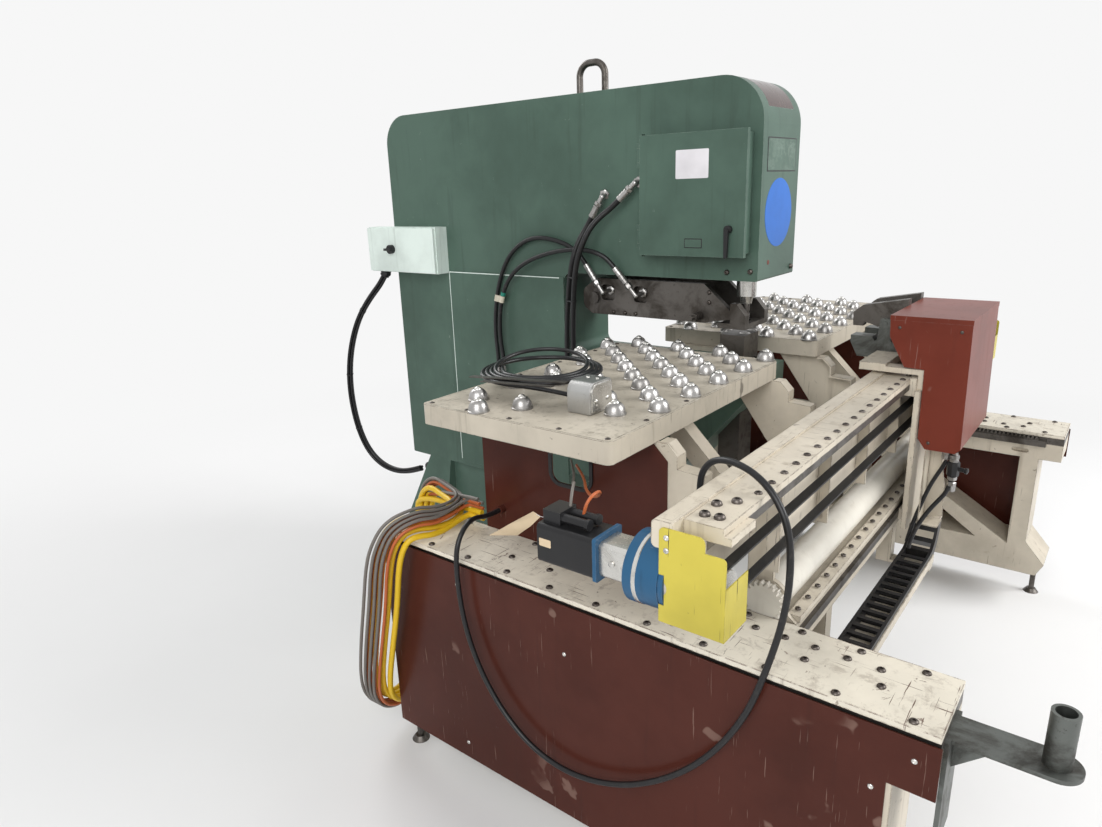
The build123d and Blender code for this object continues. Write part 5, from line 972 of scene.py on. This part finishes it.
def make_tag():
    """The paper tag on its string, which hangs from the motor's plug and lies over the base plate."""
    edges = [(at(*left), at(*right)) for left, right in TAG_EDGES]
    drop = Vector((0, 0, -PAPER_THICK * MM))
    shape = bmesh.new()
    top = [(shape.verts.new(a), shape.verts.new(b)) for a, b in edges]
    under = [(shape.verts.new(a + drop), shape.verts.new(b + drop)) for a, b in edges]
    for k in range(len(top) - 1):
        shape.faces.new((top[k][0], top[k][1], top[k + 1][1], top[k + 1][0]))
        shape.faces.new((under[k][0], under[k + 1][0], under[k + 1][1], under[k][1]))
        shape.faces.new((top[k][0], top[k + 1][0], under[k + 1][0], under[k][0]))
        shape.faces.new((top[k][1], under[k][1], under[k + 1][1], top[k + 1][1]))
    shape.faces.new((top[0][0], under[0][0], under[0][1], top[0][1]))
    shape.faces.new((top[-1][1], under[-1][1], under[-1][0], top[-1][0]))
    new_piece("paper_tag", shape, "gantry", [PAPER], 60)
    string = spline_curve("tag_string", in_frame(TAG_STRING), 0.8)
    string.data.materials.append(WHITE_LABEL)
    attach(string, "gantry")


VALVE_AT = (-32, -626, 842)


def make_valve():
    """The small valve and nuts on the hose under the carriage's cover, and the other hose's fitting."""
    shape = bmesh.new()
    turned(shape, ((8, 0), (8, 6), (12.5, 8), (12.5, 17), (8, 19)), VALVE_AT, DOWN, 6)
    turned(shape, ((7.5, 16), (11.5, 19), (11.5, 26)), VALVE_AT, DOWN, 18)
    for start in (68, 84):
        turned(shape, ((9, start), (12, start + 2), (12, start + 10), (9, start + 12)), VALVE_AT, DOWN, 6)
    turned(shape, ((8.5, 96), (9.5, 98), (9.5, 112), (7, 114)), VALVE_AT, (0.05, -0.01, -1), 18)
    turned(shape, ((10, 0), (12, 1.5), (12, 9), (9, 11), (9, 24), (6, 26)), (-26, -606, 842),
           (-0.02, 0.02, -1), 6)
    new_piece("valve_nuts", shape, "carriage", [ZINC], 35)
    shape = bmesh.new()
    turned(shape, ((13, 26), (16, 28), (16, 64), (13, 68)), VALVE_AT, DOWN, 8)
    turned(shape, ((6, 0), (6, 16), (8, 18), (8, 24), (4, 26)), (-32, -638, 796), (-0.2, -1, 0), 12)
    new_piece("valve_body", shape, "carriage", [BLACK_PAINT], 35)


GEARBOX_AT = (-1150, -359, 911)
BELL_HALF = 33.6
BELL_CORNER = 9
BELL_ENDS = (-344, -264.4)
BELL_SCREWS = (-318, -292)


def make_gearbox_dress():
    """The gearbox's steel ring and its cast bell, over the plain solid."""
    middle_x, middle_z = GEARBOX_AT[0], GEARBOX_AT[2]
    shape = bmesh.new()
    turned(shape, ((64.8, -0.5), (66.4, 1), (66.4, 13), (63, 15)), GEARBOX_AT, (0, 1, 0), 40)
    square = filleted([(middle_x + u * BELL_HALF, middle_z + v * BELL_HALF)
                       for u, v in ((-1, -1), (1, -1), (1, 1), (-1, 1))],
                      [BELL_CORNER] * 4)
    skin(shape, [in_frame((x, y, z) for x, z in square) for y in BELL_ENDS])
    for side in (-1, 1):
        for y in BELL_SCREWS:
            turned(shape, ((6, -1), (6, 2), (4.5, 3), (0, 3.2)), (middle_x + side * BELL_HALF, y, middle_z),
                   (side, 0, 0), 12)
    new_piece("gearbox_bell", shape, "gantry", [BRIGHT_STEEL], 35)


COVER_X = -137
# Pale strips painted as a highlight on the cover's back and top edges: each from one corner (y, z) to the
# other
COVER_HIGHLIGHT_STRIPS = (((1145, 506), (1148, 1262)), ((618, 1260.5), (1148, 1264)))


def make_edge_highlights():
    """Pale strips along the column's cover, a painted highlight on its back edge and its top edge."""
    shape = bmesh.new()
    for (y, z), (end_y, end_z) in COVER_HIGHLIGHT_STRIPS:
        around = ((y, z), (end_y, z), (end_y, end_z), (y, end_z))
        slab(shape, [(COVER_X, *corner) for corner in around], LEFT, 0.5)
    new_piece("cover_edge_highlights", shape, "machine", [PALE_GREEN])


def make_chain():
    """The energy chain as one piece: a copy of its solid, in its place."""
    solid = nodes["energy_chain"]
    chain = added("chain_links", solid.data.copy())
    chain.matrix_world = solid.matrix_world
    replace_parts(chain, "energy_chain")
    start, end = in_frame(CHAIN_BEND)
    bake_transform(chain)


# Ball units

CUP_HEIGHT = 28
BALL_RADIUS = 11
BALL_RISE = 6
PITCH_X = 148
PITCH_Y = 140
FIRST_X = 170
FIRST_Y = -141
NEAR_ROWS = {0: (0,), 1: range(3), 2: range(5), 3: range(7), 4: range(8), 5: (0, 1, 3, 5, 6), 6: (1, 2),
             7: (1, 3), 8: (1, 2)}


def ball_places():
    """Where the ball units stand, as in the part's source."""
    places = []
    for row, kept in NEAR_ROWS.items():
        steps = min(2 * row, 7)
        start_x = -FIRST_X - (2 * row - steps) * PITCH_X / 2
        for k in kept:
            places.append((start_x - k * PITCH_X / 2, FIRST_Y + (steps - k) * PITCH_Y / 2))
    for row in range(8):
        for column in range(6 - row % 2):
            places.append((FIRST_X + (row % 2) * PITCH_X / 2 + column * PITCH_X, FIRST_Y + row * PITCH_Y / 2))
    return places


def make_ball_units():
    """Round domed cups with a free ball in each, in place of the eight-sided solids."""
    cup = ((25.6, 0), (25.6, 3.5), (24.2, 4.5), (23.4, 10), (21.6, 16), (18.6, 21.5), (14.6, 25.6),
           (11.4, 27.6), (10.2, 27.6), (10.0, 25.5))
    ball = []
    for step in range(6):
        angle = math.radians(-20 + step * 110 / 6)
        ball.append((BALL_RADIUS * math.cos(angle), CUP_HEIGHT - 5 + BALL_RADIUS * math.sin(angle)))
    ball.append((0, CUP_HEIGHT + BALL_RISE))
    for name, profile, segments, material, angle, replaced in (
            ("domed_cups", cup, 24, ZINC, 40, "ball_cups"),
            ("round_balls", ball, 18, BRIGHT_STEEL, 60, "ball_tips")):
        shape = bmesh.new()
        for x, y in ball_places():
            turned(shape, profile, (x, y, TABLE_TOP_Z), UP, segments)
        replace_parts(new_piece(name, shape, "machine", [material], angle), replaced)


make_ball_units()

# Screws


def base_screw_places(side):
    """The screws in one base's top plate."""
    places = [(side * 993, y, BASE_TOP_Z) for y in range(-770, 560, 130)]
    places += [(side * 841, -756 + k * 116.5, BASE_TOP_Z) for k in range(12)]
    places += [(side * 878.5, -686 + k * 61.5, BASE_TOP_Z) for k in range(6)]
    places += [(side * 928, y, BASE_TOP_Z) for y in (-700, -560, 60, 180, 430)]
    return places


def make_screws():
    both = base_screw_places(-1) + base_screw_places(1)
    screws("base_plate_screws", both, UP, 8.5, "machine", SCREW_STEEL)
    upper = [(x, -484, 1030) for x in range(-1005, 1061, 59)]
    screws("upper_rail_screws", upper, UP, 7.5, "gantry", SCREW_STEEL)
    lower = [(x, -485, 682) for x in range(-765, 770, 59)]
    screws("lower_rail_screws", lower, UP, 6.5, "gantry", SCREW_STEEL)
    corner = [(-1140, -449, 1030), (-1138, -475, 1030), (-1090, -446, 1030), (-1062, -470, 1030)]
    corner += [(-x, y, z) for x, y, z in corner]
    screws("rail_end_screws", corner, UP, 10, "gantry", SCREW_STEEL, 8)
    panel = [(-1009, y, z)
             for y, z in ((-781, 615), (-717, 529), (-40, 530), (300, 600), (300, 120), (-300, 110))]
    paired_screws("panel_screws", panel, 5.5, "machine", BRIGHT_STEEL)
    paired_screws("guard_screws", [(-1210, -417, 1008), (-1210, -417, 985)], 5.5, "gantry", BRIGHT_STEEL)
    nose = [(-HALF_FRAME, 4, 1305), (-HALF_FRAME, -68, 1309)]
    paired_screws("nose_bolts", nose, 8, "machine", SCREW_STEEL, 8)
    screws("front_nose_bolts", [(108, NOSE_Y, 1303)], FRONT, 8, "machine", SCREW_STEEL, 8)
    arm = [(-85, 431, 1152), (-85, 386, 1152), (-85, 345, 1152), (-85, 83, 1236), (-85, 82, 1206)]
    paired_screws("stripper_screws", arm, 7, "stripper_arm", SCREW_STEEL, 6)
    table = []
    for side in (-1, 1):
        table += [(side * x, y, TABLE_TOP_Z) for x in (990, 840, 660, 480, 300, 176) for y in (-155, 358)]
        table += [(side * 990, y, TABLE_TOP_Z) for y in (-30, 110, 240)]
    screws("table_screws", table, UP, 6.5, "machine", SCREW_STEEL, 2.4)
    cover = [(-47, -610, 1168), (-47, -460, 1168), (-47, -560, 860)]
    screws("near_cover_screws", cover, LEFT, 4.5, "carriage", SCREW_STEEL)


make_screws()

# Plates and signs

RIM_RISE = 0.25


def plate(name, place, half_u, half_z, corner, thick, materials, body, out=LEFT, rim=None, steps=5):
    """A thin plate on an upright face, with an optional darker rim."""
    across = Vector((abs(out[1]), abs(out[0]), 0))
    layers = [(0, 0, thick, 0, thick)]
    if rim:
        layers.append((thick, rim, RIM_RISE, 1, 0.1))
    shape = bmesh.new()
    for rise, margin, height, material, inset in layers:
        outline = rounded_rectangle(half_u - margin, half_z - margin, corner, steps)
        start = Vector(place) + Vector(out) * rise
        slab(shape, [start + across * u + Vector(UP) * v for u, v in outline], out, height, material, inset)
    new_piece(name, shape, body, materials, 30)


WHITE_LABEL = paint("white_label", (0.74, 0.72, 0.75), (0.45, 0.42, 0.42), (0.6, 0.58, 0.6), 0.35, 0.5,
                    dirt_share=0.15, chips=0.05, edge=0.0005, streaks=0.05)
BLUE_SIGN = paint("blue_sign", (0.012, 0.13, 0.50), (0.02, 0.07, 0.22), (0.5, 0.6, 0.7), 0.30, 0.5,
                  dirt_share=0.15, chips=0.06, edge=0.0005, streaks=0.05)


def make_plates():
    plate("door_label", (DOOR_X, 91.5, 1608), 51.5, 39, 4, 0.5, [WHITE_LABEL], "box_door")
    plate("door_tag", (DOOR_X, 83.5, 1390.5), 28.5, 13.5, 2, 0.8, [BLACK_PAINT, GREEN], "box_door", rim=2.5)
    for name, x, z, half_x, half_z, corner, materials, rim in (
            ("nose_plate", 2.5, 1626, 102.5, 46, 3, [BLACK_PAINT, GREEN], 3.5),
            ("nose_disc", -4, 1467, 96, 96, 95.9, [BLUE_SIGN], None),
            ("nose_dot", -62, 1330, 7, 7, 6.9, [RED_BROWN], None)):
        plate(name, (x, NOSE_Y, z), half_x, half_z, corner, 0.8, materials, "machine", FRONT, rim, 12)
    plate("motor_label", (-1190.2, -145, 915), 14, 8, 2, 0.4, [PAPER], "gantry")


make_plates()
make_fittings()
make_ties(lines)
make_connector()
make_tag()
make_valve()
make_gearbox_dress()
make_edge_highlights()
make_chain()

# Studio

BACKGROUND = (0.93, 0.93, 0.93)
WORLD_LIGHT = 0.42
FLOOR_HALF = 40
FADE_FROM = 2.0
FADE_TO = 4.6
# Each lamp: its place, its size, its power and what it aims at, in metres and watts
LAMPS = (
    ("key", (2.2, -5.2, 4.0), 3.4, 330, (0, -0.2, 0.8)),
    ("side", (-4.6, -1.6, 3.4), 3.4, 170, (0, 0.0, 0.9)),
    ("back", (0.5, 4.6, 4.2), 3.0, 130, (0, 0.4, 1.0)),
)


def seen_rays(tree):
    """1 for the rays that see the background: the camera's own, reflected and passed ones."""
    ray = add_node(tree, "LightPath").outputs
    seen = ray["Is Camera Ray"]
    for kind in ("Is Glossy Ray", "Is Transmission Ray"):
        seen = add_node(tree, "Math", {0: seen, 1: ray[kind]}, operation="MAXIMUM").outputs[0]
    return seen


def white_floor():
    """A pale floor that keeps the object's shadow near it and fades into the white background far away."""
    g = Graph("pale_floor")
    g.colour(g.mix(g.noise(2, 3), (0.80, 0.80, 0.80), (0.83, 0.83, 0.83)))
    g.set("Roughness", 0.9)
    g.set("Specular IOR Level", 0.1)
    length = g.out("Value", "VectorMath", {0: g.coords}, operation="LENGTH")
    faded = g.times(g.step(length, FADE_FROM, FADE_TO), seen_rays(g.tree))
    white = g.out(0, "Emission", {"Color": rgba(BACKGROUND)})
    both = g.out(0, "MixShader", {0: faded, 1: g.shader.outputs[0], 2: white})
    join(g.tree, both, g.tree.nodes["Material Output"].inputs["Surface"])
    return g.material


def make_floor():
    mesh = bpy.data.meshes.new("floor")
    corners = [(-FLOOR_HALF, -FLOOR_HALF, 0), (FLOOR_HALF, -FLOOR_HALF, 0), (FLOOR_HALF, FLOOR_HALF, 0),
               (-FLOOR_HALF, FLOOR_HALF, 0)]
    mesh.from_pydata(corners, [], [(0, 1, 2, 3)])
    mesh.materials.append(white_floor())
    added("floor", mesh)


def make_lamps():
    for name, place, size, power, aim in LAMPS:
        lamp = bpy.data.lights.new(name, "AREA")
        lamp.size = size
        lamp.energy = power
        holder = added(name, lamp)
        holder.location = place
        holder.rotation_euler = (Vector(aim) - Vector(place)).to_track_quat("-Z", "Y").to_euler()


def make_world():
    """Plain light all round, and a white background for the rays that see it."""
    world = bpy.data.worlds.new("studio")
    bpy.context.scene.world = world
    world.use_nodes = True
    tree = world.node_tree
    light = tree.nodes["Background"]
    light.inputs["Color"].default_value = (1, 1, 1, 1)
    light.inputs["Strength"].default_value = WORLD_LIGHT
    shown = add_node(tree, "Background", {"Color": rgba(BACKGROUND)}).outputs[0]
    both = add_node(tree, "MixShader", {0: seen_rays(tree), 1: light.outputs[0], 2: shown}).outputs[0]
    join(tree, both, tree.nodes["World Output"].inputs[0])
    bpy.context.scene.view_settings.view_transform = "Standard"


make_floor()
make_lamps()
make_world()
